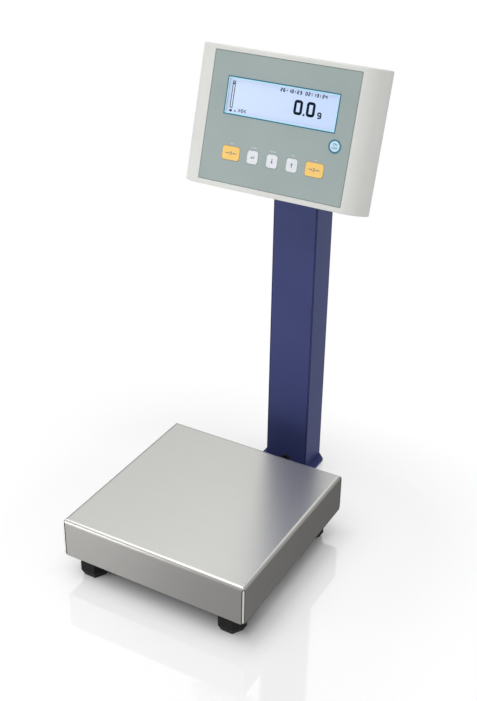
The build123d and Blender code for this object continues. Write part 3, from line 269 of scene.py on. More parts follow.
def powder_coat(name, low, high, bend, roughness, peel_mm, cloud_mm=70):
    """Baked powder coat: one colour with a low gloss and a faint orange peel, with painted shade darkening
    its bends.
    """
    edge_radius = 1.2
    material, tree = new_material(name)
    place = add(tree, "ShaderNodeTexCoord").outputs["Object"]
    cloud = add(
        tree, "ShaderNodeTexNoise", {"Scale": per_metre(cloud_mm)}, {"Vector": place}
    ).outputs["Fac"]
    colour = add(
        tree, "ShaderNodeMix",
        {"data_type": "RGBA", FIRST_COLOUR: linear(low), SECOND_COLOUR: linear(high)}, {"Factor": cloud},
    ).outputs[MIXED_COLOUR]
    edge = add(tree, "ShaderNodeBevel", {"samples": 8, "Radius": edge_radius * MM}).outputs["Normal"]
    # Painted shade: the bends take the darker bend colour
    painted_bend_shade_colour = add(
        tree, "ShaderNodeMix", {"data_type": "RGBA", SECOND_COLOUR: linear(bend)},
        {"Factor": bend_mask(tree, edge)[2], FIRST_COLOUR: colour},
    ).outputs[MIXED_COLOUR]
    peel = add(tree, "ShaderNodeTexNoise", {"Scale": per_metre(peel_mm)}, {"Vector": place}).outputs["Fac"]
    relief = add(
        tree, "ShaderNodeBump", {"Distance": 0.02 * MM, "Strength": 0.35}, {"Height": peel, "Normal": edge}
    ).outputs["Normal"]
    gloss = add(
        tree, "ShaderNodeMapRange",
        {**NOISE_RANGE, "To Min": roughness - 0.04, "To Max": roughness + 0.04},
        {"Value": cloud},
    ).outputs["Result"]
    surface = add(
        tree, "ShaderNodeBsdfPrincipled", {"IOR": 1.15},
        {"Base Color": painted_bend_shade_colour, "Roughness": gloss, "Normal": relief},
    ).outputs["BSDF"]
    add(tree, "ShaderNodeOutputMaterial", links={"Surface": surface})
    return material


def moulded_plastic(name, low, high, roughness, edge_mm=0.4, cloud_mm=45, grain_mm=0.9, ior=1.5):
    """Injection-moulded plastic: an even colour that drifts a little, and small rounded edges.

    The eye sees the satin grain of a spark-eroded mould. The real grain is about 0.1 mm, too fine to
    show, so it is drawn coarser.
    """
    material, tree = new_material(name)
    place = add(tree, "ShaderNodeTexCoord").outputs["Object"]
    cloud = add(
        tree, "ShaderNodeTexNoise", {"Scale": per_metre(cloud_mm)}, {"Vector": place}
    ).outputs["Fac"]
    colour = add(
        tree, "ShaderNodeMix",
        {"data_type": "RGBA", FIRST_COLOUR: linear(low), SECOND_COLOUR: linear(high)}, {"Factor": cloud},
    ).outputs[MIXED_COLOUR]
    grain = add(
        tree, "ShaderNodeTexNoise", {"Scale": per_metre(grain_mm), "Detail": 3}, {"Vector": place}
    ).outputs["Fac"]
    edge = add(tree, "ShaderNodeBevel", {"samples": 6, "Radius": edge_mm * MM}).outputs["Normal"]
    relief = add(
        tree, "ShaderNodeBump", {"Distance": 0.02 * MM, "Strength": 0.4}, {"Height": grain, "Normal": edge}
    ).outputs["Normal"]
    gloss = add(
        tree, "ShaderNodeMapRange",
        {**NOISE_RANGE, "To Min": roughness - 0.05, "To Max": roughness + 0.05},
        {"Value": grain},
    ).outputs["Result"]
    surface = add(
        tree, "ShaderNodeBsdfPrincipled", {"IOR": ior},
        {"Base Color": colour, "Roughness": gloss, "Normal": relief},
    ).outputs["BSDF"]
    add(tree, "ShaderNodeOutputMaterial", links={"Surface": surface})
    return material


def bare_metal(name, low, high, roughness, grit_mm, stretch=(1, 1, 1)):
    """Bare or plated metal: its grit or tool marks vary the gloss, and its edges are a little round."""
    edge_radius = 0.25
    material, tree = new_material(name)
    place = add(tree, "ShaderNodeTexCoord").outputs["Object"]
    drawn = add(tree, "ShaderNodeMapping", {"Scale": stretch}, {"Vector": place}).outputs["Vector"]
    grit = add(
        tree, "ShaderNodeTexNoise", {"Scale": per_metre(grit_mm), "Detail": 3}, {"Vector": drawn}
    ).outputs["Fac"]
    colour = add(
        tree, "ShaderNodeMix",
        {"data_type": "RGBA", FIRST_COLOUR: linear(low), SECOND_COLOUR: linear(high)}, {"Factor": grit},
    ).outputs[MIXED_COLOUR]
    edge = add(tree, "ShaderNodeBevel", {"samples": 4, "Radius": edge_radius * MM}).outputs["Normal"]
    relief = add(
        tree, "ShaderNodeBump", {"Distance": 0.01 * MM, "Strength": 0.35}, {"Height": grit, "Normal": edge}
    ).outputs["Normal"]
    gloss = add(
        tree, "ShaderNodeMapRange",
        {**NOISE_RANGE, "To Min": roughness - 0.05, "To Max": roughness + 0.07},
        {"Value": grit},
    ).outputs["Result"]
    surface = add(
        tree, "ShaderNodeBsdfPrincipled", {"Metallic": 1.0},
        {"Base Color": colour, "Roughness": gloss, "Normal": relief},
    ).outputs["BSDF"]
    add(tree, "ShaderNodeOutputMaterial", links={"Surface": surface})
    return material


def polyester_overlay():
    """Polyester film, printed grey-green on its back under a velvet face.

    The eye sees an even colour through a satin skin. The emboss is finer than 0.1 mm, so it is drawn
    0.8 mm wide and very shallow.
    """
    material, tree = new_material("polyester_overlay")
    place = add(tree, "ShaderNodeTexCoord").outputs["Object"]
    cloud = add(tree, "ShaderNodeTexNoise", {"Scale": per_metre(80)}, {"Vector": place}).outputs["Fac"]
    colour = add(
        tree, "ShaderNodeMix",
        {"data_type": "RGBA", FIRST_COLOUR: linear("#8F9D9C"), SECOND_COLOUR: linear("#9FACAA")},
        {"Factor": cloud},
    ).outputs[MIXED_COLOUR]
    emboss = add(tree, "ShaderNodeTexNoise", {"Scale": per_metre(0.8)}, {"Vector": place}).outputs["Fac"]
    relief = add(
        tree, "ShaderNodeBump", {"Distance": 0.01 * MM, "Strength": 0.3}, {"Height": emboss}
    ).outputs["Normal"]
    gloss = add(
        tree, "ShaderNodeMapRange",
        {**NOISE_RANGE, "To Min": 0.4, "To Max": 0.48}, {"Value": emboss},
    ).outputs["Result"]
    surface = add(
        tree, "ShaderNodeBsdfPrincipled", {"IOR": 1.5},
        {"Base Color": colour, "Roughness": gloss, "Normal": relief},
    ).outputs["BSDF"]
    add(tree, "ShaderNodeOutputMaterial", links={"Surface": surface})
    return material


def clear_window():
    """Clear polyester with a hard coat against glare: the panel shows through a weak, soft mirror."""
    material, tree = new_material("clear_polyester_window")
    place = add(tree, "ShaderNodeTexCoord").outputs["Object"]
    scuffs = add(tree, "ShaderNodeTexNoise", {"Scale": per_metre(8), "Detail": 4}, {"Vector": place})
    gloss = add(
        tree, "ShaderNodeMapRange",
        {**NOISE_RANGE, "To Min": 0.1, "To Max": 0.18},
        {"Value": scuffs.outputs["Fac"]},
    ).outputs["Result"]
    clear = add(tree, "ShaderNodeBsdfTransparent").outputs["BSDF"]
    mirror = add(tree, "ShaderNodeBsdfGlossy", links={"Roughness": gloss}).outputs["BSDF"]
    # The share of the mirror rises toward a glancing look. Layer Weight gives it alike on both skins,
    # where Fresnel would turn the inner skin into a full mirror.
    facing = add(tree, "ShaderNodeLayerWeight", {"Blend": 0.5}).outputs["Facing"]
    glancing = add(tree, "ShaderNodeMath", {"operation": "POWER", 1: 4.0}, {0: facing}).outputs["Value"]
    share = add(
        tree, "ShaderNodeMapRange", {"To Min": 0.004, "To Max": 0.5}, {"Value": glancing}
    ).outputs["Result"]
    surface = add(tree, "ShaderNodeMixShader", links={"Fac": share, 1: clear, 2: mirror}).outputs["Shader"]
    add(tree, "ShaderNodeOutputMaterial", links={"Surface": surface})
    return material


def lit_panel():
    """Liquid-crystal panel over a white light box.

    The eye sees an even blue-white glow behind the fine dots of the diffuser, a little lighter on the
    left, where a painted sheen stands in for a reflection. The real dots are 0.3 mm, so they are drawn 1
    mm.
    diffuser. The real dots are 0.3 mm, so they are drawn 1 mm.
    """
    material, tree = new_material("lit_panel")
    place = add(tree, "ShaderNodeTexCoord").outputs["Object"]
    across = add(tree, "ShaderNodeSeparateXYZ", links={"Vector": place}).outputs["X"]
    # Painted sheen: the panel is coloured a little lighter toward its left, standing in for a reflection
    low_x, high_x = reach("display_panel", FACE_RIGHT)
    painted_sheen_share = add(
        tree, "ShaderNodeMapRange",
        {"From Min": low_x, "From Max": high_x, "interpolation_type": "SMOOTHSTEP"}, {"Value": across},
    ).outputs["Result"]
    colour = add(
        tree, "ShaderNodeMix",
        {"data_type": "RGBA", FIRST_COLOUR: linear("#CEDFFC"), SECOND_COLOUR: linear("#C5D8FA")},
        {"Factor": painted_sheen_share},
    ).outputs[MIXED_COLOUR]
    dots = add(tree, "ShaderNodeTexNoise", {"Scale": per_metre(1)}, {"Vector": place}).outputs["Fac"]
    glow = add(
        tree, "ShaderNodeMapRange",
        {**NOISE_RANGE, "To Min": 0.62, "To Max": 0.67}, {"Value": dots},
    ).outputs["Result"]
    unlit_share = 0.4
    unlit = add(tree, "ShaderNodeVectorMath", {"operation": "SCALE", "Scale": unlit_share}, {0: colour})
    surface = add(
        tree, "ShaderNodeBsdfPrincipled", {"IOR": 1.45, "Roughness": 0.35},
        {"Base Color": unlit.outputs["Vector"], "Emission Color": colour, "Emission Strength": glow},
    ).outputs["BSDF"]
    add(tree, "ShaderNodeOutputMaterial", links={"Surface": surface})
    return material


def moulded_rubber():
    """Compression-moulded black rubber: matt, dusty, with a coarse skin."""
    material, tree = new_material("moulded_rubber")
    place = add(tree, "ShaderNodeTexCoord").outputs["Object"]
    skin = add(tree, "ShaderNodeTexNoise", {"Scale": per_metre(1.2), "Detail": 4}, {"Vector": place})
    colour = add(
        tree, "ShaderNodeMix",
        {"data_type": "RGBA", FIRST_COLOUR: linear("#141415"), SECOND_COLOUR: linear("#262627")},
        {"Factor": skin.outputs["Fac"]},
    ).outputs[MIXED_COLOUR]
    edge = add(tree, "ShaderNodeBevel", {"samples": 4, "Radius": 0.3 * MM}).outputs["Normal"]
    relief = add(
        tree, "ShaderNodeBump", {"Distance": 0.05 * MM, "Strength": 0.5},
        {"Height": skin.outputs["Fac"], "Normal": edge},
    ).outputs["Normal"]
    surface = add(
        tree, "ShaderNodeBsdfPrincipled", {"Roughness": 0.75}, {"Base Color": colour, "Normal": relief}
    ).outputs["BSDF"]
    add(tree, "ShaderNodeOutputMaterial", links={"Surface": surface})
    return material


def level_liquid():
    """Acrylic vial of a spirit level: a glossy clear skin over dyed yellow-green spirit."""
    material, tree = new_material("level_liquid")
    place = add(tree, "ShaderNodeTexCoord").outputs["Object"]
    depth = add(tree, "ShaderNodeTexNoise", {"Scale": per_metre(6)}, {"Vector": place}).outputs["Fac"]
    colour = add(
        tree, "ShaderNodeMix",
        {"data_type": "RGBA", FIRST_COLOUR: linear("#A9C93A"), SECOND_COLOUR: linear("#CDE46C")},
        {"Factor": depth},
    ).outputs[MIXED_COLOUR]
    settings = {"Roughness": 0.1, "Coat Weight": 1.0, "Coat Roughness": 0.03}
    surface = add(tree, "ShaderNodeBsdfPrincipled", settings, {"Base Color": colour}).outputs["BSDF"]
    add(tree, "ShaderNodeOutputMaterial", links={"Surface": surface})
    return material


def screen_ink(name, low, high, roughness=0.5, ior=1.5):
    """Screen-printed ink: its cover and its gloss vary a little, over spots of about 1.5 mm. The same
    ink draws the painted shade along the overlay's edge and the painted glow inside the window.

    The panel's segments lie inside its cell, without a skin of their own, so their ior is near 1.
    """
    material, tree = new_material(name)
    place = add(tree, "ShaderNodeTexCoord").outputs["Object"]
    cover = add(tree, "ShaderNodeTexNoise", {"Scale": per_metre(1.5)}, {"Vector": place}).outputs["Fac"]
    colour = add(
        tree, "ShaderNodeMix",
        {"data_type": "RGBA", FIRST_COLOUR: linear(low), SECOND_COLOUR: linear(high)}, {"Factor": cover},
    ).outputs[MIXED_COLOUR]
    gloss = add(
        tree, "ShaderNodeMapRange",
        {**NOISE_RANGE, "To Min": roughness - 0.05, "To Max": roughness + 0.05},
        {"Value": cover},
    ).outputs["Result"]
    surface = add(
        tree, "ShaderNodeBsdfPrincipled", {"IOR": ior}, {"Base Color": colour, "Roughness": gloss}
    ).outputs["BSDF"]
    add(tree, "ShaderNodeOutputMaterial", links={"Surface": surface})
    return material


# Finishes, by the record's material slots
finishes = {
    "stainless_sheet": brushed_stainless(),
    # Sand-cast aluminium under a black-blue powder coat: matt, with a coarse skin. Its bends carry painted
    # shade.
    "dark_casting": powder_coat("coated_casting", "#1A1D28", "#262A3A", "#14161F", 0.5, 2.5),
    # Aluminium milled along its length: bright, with fine tool lines
    "cell_aluminium": bare_metal("milled_aluminium", "#BFC1C3", "#D6D7D8", 0.3, 0.6, (1, 0.1, 1)),
    # Steel, barrel-plated with zinc: cool grey with a cast of yellow
    "zinc_steel": bare_metal("zinc_plated_steel", "#ACAEAE", "#CCC9BC", 0.28, 0.8),
    # Glass-filled nylon: near black, satin
    "black_plastic": moulded_plastic("black_nylon", "#08080A", "#101013", 0.6, ior=1.25),
    "vial_glass": level_liquid(),
    "black_rubber": moulded_rubber(),
    # Folded steel sheet under a deep blue powder coat: semi-gloss, so its faces mirror a soft sheen. Its
    # bends carry painted shade.
    "navy_paint": powder_coat("navy_powder_coat", "#3B4270", "#474E7C", "#1B2040", 0.42, 1.6),
    # Undyed nylon: waxy off-white
    "white_nylon": moulded_plastic("natural_nylon", "#D8D4C6", "#EAE6DA", 0.45),
    # ABS, moulded with a spark-eroded grain: warm pale grey, satin
    "housing_plastic": moulded_plastic("housing_abs", "#D0D1CD", "#DADBD7", 0.45, edge_mm=0.6),
    "overlay_film": polyester_overlay(),
    "window_film": clear_window(),
    # Steel strip, tinned: soft silver
    "frame_steel": bare_metal("tinned_steel", "#AEB0B2", "#C2C4C6", 0.3, 1.2),
    "display_glass": lit_panel(),
    # Filled polycarbonate: opaque white, to keep the light in
    "light_box_plastic": moulded_plastic("white_polycarbonate", "#E0E0DE", "#EEEEEC", 0.5),
    # Glass-epoxy board under green solder mask: glossy, mottled by the copper below it
    "circuit_board": moulded_plastic("solder_mask", "#0F4424", "#1F6C3A", 0.35, cloud_mm=5),
    # Brass shell, nickel-plated: warm and bright
    "nickel_shell": bare_metal("nickel_plate", "#B9B5AC", "#CDCAC2", 0.2, 0.6),
    # Brass turned from bar: yellow, with rings of tool marks
    "insert_brass": bare_metal("turned_brass", "#C19C45", "#DCBD6C", 0.25, 0.5),
    # Silicone key caps with a satin skin, dyed through, each in its own colour
    "orange_key": moulded_plastic("orange_silicone", "#EFC267", "#F5CC78", 0.45, 0.5, 12),
    "pale_key": moulded_plastic("pale_silicone", "#D7DBE0", "#E2E5EA", 0.45, 0.5, 12),
    "blue_key": moulded_plastic("blue_silicone", "#BADCEB", "#CAE8F5", 0.45, 0.3, 12),
}
slots = {entry["node"]: entry["material_slot"] for entry in frame["record"]["subparts"]}
for node_name, node in frame["nodes"].items():
    node.data.materials.clear()
    node.data.materials.append(finishes[slots[node_name]])

gap_shade_ink = screen_ink("painted_gap_shade", "#6E7A79", "#7C8887")
white_ink = screen_ink("white_ink", "#C2CBCA", "#D6DCDB")
teal_ink = screen_ink("teal_ink", "#125B78", "#26748F")
window_glow_ink = screen_ink("painted_window_glow", "#A6DDF0", "#C2EEFA")
navy_ink = screen_ink("navy_ink", "#1F4468", "#335A84")
segment_ink = screen_ink("panel_segments", "#06131F", "#0C1B29", 0.4, 1.08)
fine_segment_ink = screen_ink("fine_panel_segments", "#081826", "#122433", 0.4, 1.08)


def on_face(u, v, level):
    """Point over the head's face: millimetres to the right, up, and in front of it."""
    return FACE_CENTRE + (FACE_RIGHT * u + FACE_UP * v + FACE_NORMAL * level) * MM


def print_shapes(name, outlines, level, ink, body):
    """Thin printed shapes on the face, each a closed outline in millimetres, as one piece."""
    mesh = bpy.data.meshes.new(name)
    shapes = bmesh.new()
    for outline in outlines:
        shapes.faces.new([shapes.verts.new(on_face(u, v, level)) for u, v in outline])
    shapes.normal_update()
    for face in shapes.faces:
        if face.normal.dot(FACE_NORMAL) < 0:
            face.normal_flip()
    shapes.to_mesh(mesh)
    shapes.free()
    mesh.materials.append(ink)
    piece = bpy.data.objects.new(name, mesh)
    bpy.context.collection.objects.link(piece)
    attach(piece, body)


def print_word(name, word, u, v, width, height, level, ink, body):
    """Plain capitals on the face round a centre, fitted to a width and a height in millimetres."""
    lettering = bpy.data.curves.new(name, "FONT")
    lettering.body = word
    lettering.fill_mode = "FRONT"
    lettering.materials.append(ink)
    piece = bpy.data.objects.new(name, lettering)
    bpy.context.collection.objects.link(piece)
    bpy.context.view_layer.update()
    low = [min(corner[i] for corner in piece.bound_box) for i in (0, 1)]
    high = [max(corner[i] for corner in piece.bound_box) for i in (0, 1)]
    fit = Matrix.Diagonal((width * MM / (high[0] - low[0]), height * MM / (high[1] - low[1]), 1, 1))
    to_centre = Matrix.Translation((-(low[0] + high[0]) / 2, -(low[1] + high[1]) / 2, 0))
    turn = Matrix((FACE_RIGHT, FACE_UP, FACE_NORMAL)).transposed().to_4x4()
    piece.matrix_world = Matrix.Translation(on_face(u, v, level)) @ turn @ fit @ to_centre
    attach(piece, body)


def rectangle(u, v, width, height):
    """Corners of a rectangle round a centre."""
    left, right, low, high = u - width / 2, u + width / 2, v - height / 2, v + height / 2
    return [(left, low), (right, low), (right, high), (left, high)]


def round_rectangle(u, v, width, height, radius, steps=6):
    """Outline of a rectangle with rounded corners, round a centre."""
    outline = []
    for quarter, (right, up) in enumerate(((1, 1), (-1, 1), (-1, -1), (1, -1))):
        corner_u = u + right * (width / 2 - radius)
        corner_v = v + up * (height / 2 - radius)
        for step in range(steps + 1):
            angle = math.radians(90) * (quarter + step / steps)
            outline.append((corner_u + radius * math.cos(angle), corner_v + radius * math.sin(angle)))
    return outline


def band(u, v, width, height, radius, thickness, steps=6):
    """Closed band inside a rounded rectangle, as four-sided shapes."""
    outer = round_rectangle(u, v, width, height, radius, steps)
    inner_width = width - 2 * thickness
    inner_height = height - 2 * thickness
    inner = round_rectangle(u, v, inner_width, inner_height, max(radius - thickness, 0.01), steps)
    shapes = []
    for start in range(len(outer)):
        end = (start + 1) % len(outer)
        shapes.append((outer[start], outer[end], inner[end], inner[start]))
    return shapes


def stroke(start, end, width):
    """Straight stroke of a symbol."""
    along = Vector(end) - Vector(start)
    across = Vector((-along.y, along.x)).normalized() * width / 2
    corners = (Vector(start) - across, Vector(end) - across, Vector(end) + across, Vector(start) + across)
    return [tuple(corner) for corner in corners]


def arrow(tip, direction, length, head, width):
    """Arrow that ends at its tip: a shaft and a triangular head."""
    tip = Vector(tip)
    along = Vector(direction)
    across = Vector((-along.y, along.x)) * head * 0.55
    neck = tip - along * head
    point = [tuple(tip), tuple(neck + across), tuple(neck - across)]
    return [stroke(tip - along * length, neck, width), point]


# Painted shade: a thin grey line along the overlay's cut edge stands in for the shadow in the gap round it
BORDER_CORNER = 1.0
GAP_SHADE_WIDTH = 0.8
gap_shade_shapes = band(0, 0, *face_size("keypad_overlay"), BORDER_CORNER, GAP_SHADE_WIDTH)
print_shapes("overlay_painted_gap_shade", gap_shade_shapes, FILM_LEVEL, gap_shade_ink, "head")

# Teal border printed round the display window, with a pale line along its inside: painted glow that stands
# in for the lit frame seen through the window
BORDER = 1.3
GLOW_WIDTH = 1.0
window_place = face_place("display_window")
window_size = face_size("display_window")
border_shapes = band(*window_place, *window_size, BORDER_CORNER, BORDER)
print_shapes("window_border", border_shapes, FILM_LEVEL, teal_ink, "head")
glow_size = [size - 2 * BORDER for size in window_size]
glow_shapes = band(*window_place, *glow_size, BORDER_CORNER / 2, GLOW_WIDTH)
print_shapes("window_painted_glow", glow_shapes, FILM_LEVEL, window_glow_ink, "head")

# Big reading on the panel: two zeros with a point between them, and a small unit
DIGIT_WIDTH = 10.2
DIGIT_HEIGHT = 15.7
DIGIT_STROKE = 3.0
DIGIT_CORNER = 3.4
READING_V = 23.75
ZEROS_U = (19.3, 34.2)
POINT_U = 26.85
POINT = 2.2
reading = []
for zero_u in ZEROS_U:
    reading += band(zero_u, READING_V, DIGIT_WIDTH, DIGIT_HEIGHT, DIGIT_CORNER, DIGIT_STROKE)
reading.append(rectangle(POINT_U, READING_V - DIGIT_HEIGHT / 2 + POINT / 2, POINT, POINT))
print_shapes("panel_reading", reading, PANEL_LEVEL, segment_ink, "head")

# The unit, a small g: its bowl, its stem, and its tail in two strokes
UNIT_U = 45.0
UNIT_V = 19.2
UNIT_STROKE = 1.5
unit = band(UNIT_U, UNIT_V + 1.1, 5.0, 4.4, 1.8, UNIT_STROKE)
unit.append(rectangle(UNIT_U + 1.75, UNIT_V - 0.6, UNIT_STROKE, 3.4))
unit.append(stroke((UNIT_U + 2.05, UNIT_V - 1.9), (UNIT_U + 0.6, UNIT_V - 2.7), UNIT_STROKE))
unit.append(rectangle(UNIT_U - 0.5, UNIT_V - 2.75, 2.6, UNIT_STROKE))
print_shapes("panel_unit", unit, PANEL_LEVEL, segment_ink, "head")

# Small clock line, in seven-segment figures: which strokes each figure lights, from its own corner
CLOCK = "26-10-23 02:13:24"
CLOCK_LEFT = -3.2
CLOCK_V = 39.2
CLOCK_PITCH = 3.3
FIGURE_WIDTH = 2.6
FIGURE_HEIGHT = 4.0
FIGURE_STROKE = 0.95
COLON_RISE = (FIGURE_HEIGHT - FIGURE_STROKE) / 4
HALF_WIDTH = (FIGURE_WIDTH - FIGURE_STROKE) / 2
HALF_HEIGHT = (FIGURE_HEIGHT - FIGURE_STROKE) / 2
SEGMENTS = {
    "top": ((-HALF_WIDTH, HALF_HEIGHT), (HALF_WIDTH, HALF_HEIGHT)),
    "middle": ((-HALF_WIDTH, 0), (HALF_WIDTH, 0)),
    "bottom": ((-HALF_WIDTH, -HALF_HEIGHT), (HALF_WIDTH, -HALF_HEIGHT)),
    "high_left": ((-HALF_WIDTH, 0), (-HALF_WIDTH, HALF_HEIGHT)),
    "high_right": ((HALF_WIDTH, 0), (HALF_WIDTH, HALF_HEIGHT)),
    "low_left": ((-HALF_WIDTH, -HALF_HEIGHT), (-HALF_WIDTH, 0)),
    "low_right": ((HALF_WIDTH, -HALF_HEIGHT), (HALF_WIDTH, 0)),
}
FIGURES = {
    "0": ("top", "bottom", "high_left", "high_right", "low_left", "low_right"),
    "1": ("high_right", "low_right"),
    "2": ("top", "high_right", "middle", "low_left", "bottom"),
    "3": ("top", "high_right", "middle", "low_right", "bottom"),
    "4": ("high_left", "high_right", "middle", "low_right"),
    "6": ("top", "high_left", "middle", "low_left", "low_right", "bottom"),
    "-": ("middle",),
    ":": (),
    " ": (),
}
clock = []
for place, figure in enumerate(CLOCK):
    figure_u = CLOCK_LEFT + place * CLOCK_PITCH
    for segment in FIGURES[figure]:
        (start_u, start_v), (end_u, end_v) = SEGMENTS[segment]
        start = (figure_u + start_u, CLOCK_V + start_v)
        clock.append(stroke(start, (figure_u + end_u, CLOCK_V + end_v), FIGURE_STROKE))
    if figure == ":":
        for dot_v in (CLOCK_V + COLON_RISE, CLOCK_V - COLON_RISE):
            clock.append(rectangle(figure_u, dot_v, FIGURE_STROKE, FIGURE_STROKE))
print_shapes("panel_clock", clock, PANEL_LEVEL, fine_segment_ink, "head")

# Left of the panel: a capacity bar with a block near its top
BAR_U = -60.9
BAR_V = 25.6
BAR_LINE = 0.9
symbols = band(BAR_U, BAR_V, 3.6, 29, 0.3, BAR_LINE, 1)
symbols.append(rectangle(BAR_U, BAR_V + 11.6, 1.4, 1.8))
# Under the bar: a block and a small cross
STATE_V = 8.3
CROSS_U = BAR_U + 5.4
CROSS_REACH = 0.8
CROSS_LINE = 0.6
symbols.append(rectangle(BAR_U, STATE_V, 3.0, 2.4))
for rise in (CROSS_REACH, -CROSS_REACH):
    start = (CROSS_U - CROSS_REACH, STATE_V - rise)
    symbols.append(stroke(start, (CROSS_U + CROSS_REACH, STATE_V + rise), CROSS_LINE))
# Right of the cross: a zero between two points that face it
ZERO_U = -46.6
ZERO_V = 9.6
ZERO_LINE = 0.8
symbols += band(ZERO_U, ZERO_V, 2.8, 3.8, 1.3, ZERO_LINE, 3)
for side in (-1, 1):
    tip = (ZERO_U + side * 2.2, ZERO_V)
    for end_v in (ZERO_V - 1.5, ZERO_V + 1.5):
        symbols.append(stroke(tip, (ZERO_U + side * 4.8, end_v), ZERO_LINE))
print_shapes("panel_symbols", symbols, PANEL_LEVEL, fine_segment_ink, "head")

# Orange keys: a zero between two arrows
TARE_LINE = 0.6
for key_name in ("tare_key_left", "tare_key_right"):
    key_u, key_v = face_place(key_name)
    marks = band(key_u, key_v, 2.5, 3.6, 1.2, TARE_LINE, 3)
    for side in (-1, 1):
        marks += arrow((key_u + side * 2.1, key_v), (-side, 0), 4.8, 1.7, TARE_LINE)
    print_shapes(f"{key_name}_symbol", marks, KEY_LEVEL, navy_ink, key_name)

# Enter key: an arrow to the left whose shaft turns up at its end. The arrow brings little more than
# its head, and two strokes are the shaft.
ENTER_LINE = 0.7
ENTER_HEAD = 2.1
HEAD_ALONE = 0.1
enter_u, enter_v = face_place("enter_key")
shaft_v = enter_v - 0.4
turn_u = enter_u + 2.0
enter_marks = arrow((enter_u - 2.3, shaft_v), (-1, 0), HEAD_ALONE, ENTER_HEAD, HEAD_ALONE)
enter_marks.append(stroke((enter_u - 0.4, shaft_v), (turn_u, shaft_v), ENTER_LINE))
enter_marks.append(stroke((turn_u, shaft_v - ENTER_LINE / 2), (turn_u, enter_v + 1.7), ENTER_LINE))
print_shapes("enter_key_symbol", enter_marks, KEY_LEVEL, navy_ink, "enter_key")

# Down and up keys: an arrow round each key's centre
ARROW_LENGTH = 5.4
ARROW_HEAD = 2.3
ARROW_LINE = 0.8
for key_name, up in (("down_key", -1), ("up_key", 1)):
    key_u, key_v = face_place(key_name)
    tip = (key_u, key_v + up * ARROW_LENGTH / 2)
    marks = arrow(tip, (0, up), ARROW_LENGTH, ARROW_HEAD, ARROW_LINE)
    print_shapes(f"{key_name}_symbol", marks, KEY_LEVEL, navy_ink, key_name)

# Round key: a teal ring along its edge round two short words
RING_WIDTH = 14.2
RING_LINE = 1.5
WORD_HEIGHT = 2.6
power_u, power_v = face_place("power_key")
power_ring = band(power_u, power_v, RING_WIDTH, RING_WIDTH, RING_WIDTH / 2, RING_LINE, 12)
print_shapes("power_key_ring", power_ring, KEY_LEVEL, teal_ink, "power_key")
for word, rise, word_width in (("ON", 2.1, 4.8), ("OFF", -1.9, 6.4)):
    print_word(
        f"power_key_{word.lower()}", word, power_u, power_v + rise, word_width, WORD_HEIGHT,
        KEY_LEVEL, navy_ink, "power_key",
    )

# Small white marks over the five keys of the row
MARK_RISE = 10.4
MARK_HEIGHT = 0.9
MARK_GAP = 0.5
for number, (key_name, lengths) in enumerate((
    ("tare_key_left", (1.2, 1.2)),
    ("enter_key", (1.0, 1.6, 1.2, 1.6)),
    ("down_key", (1.6, 1.0, 1.4, 1.4)),
    ("up_key", (1.4, 1.6)),
    ("tare_key_right", (1.2, 1.2)),
), 1):
    key_u, key_v = face_place(key_name)
    start = key_u - (sum(lengths) + MARK_GAP * (len(lengths) - 1)) / 2
    dashes = []
    for length in lengths:
        dashes.append(rectangle(start + length / 2, key_v + MARK_RISE, length, MARK_HEIGHT))
        start += length + MARK_GAP
    print_shapes(f"mark_{number}", dashes, FILM_LEVEL, white_ink, "head")


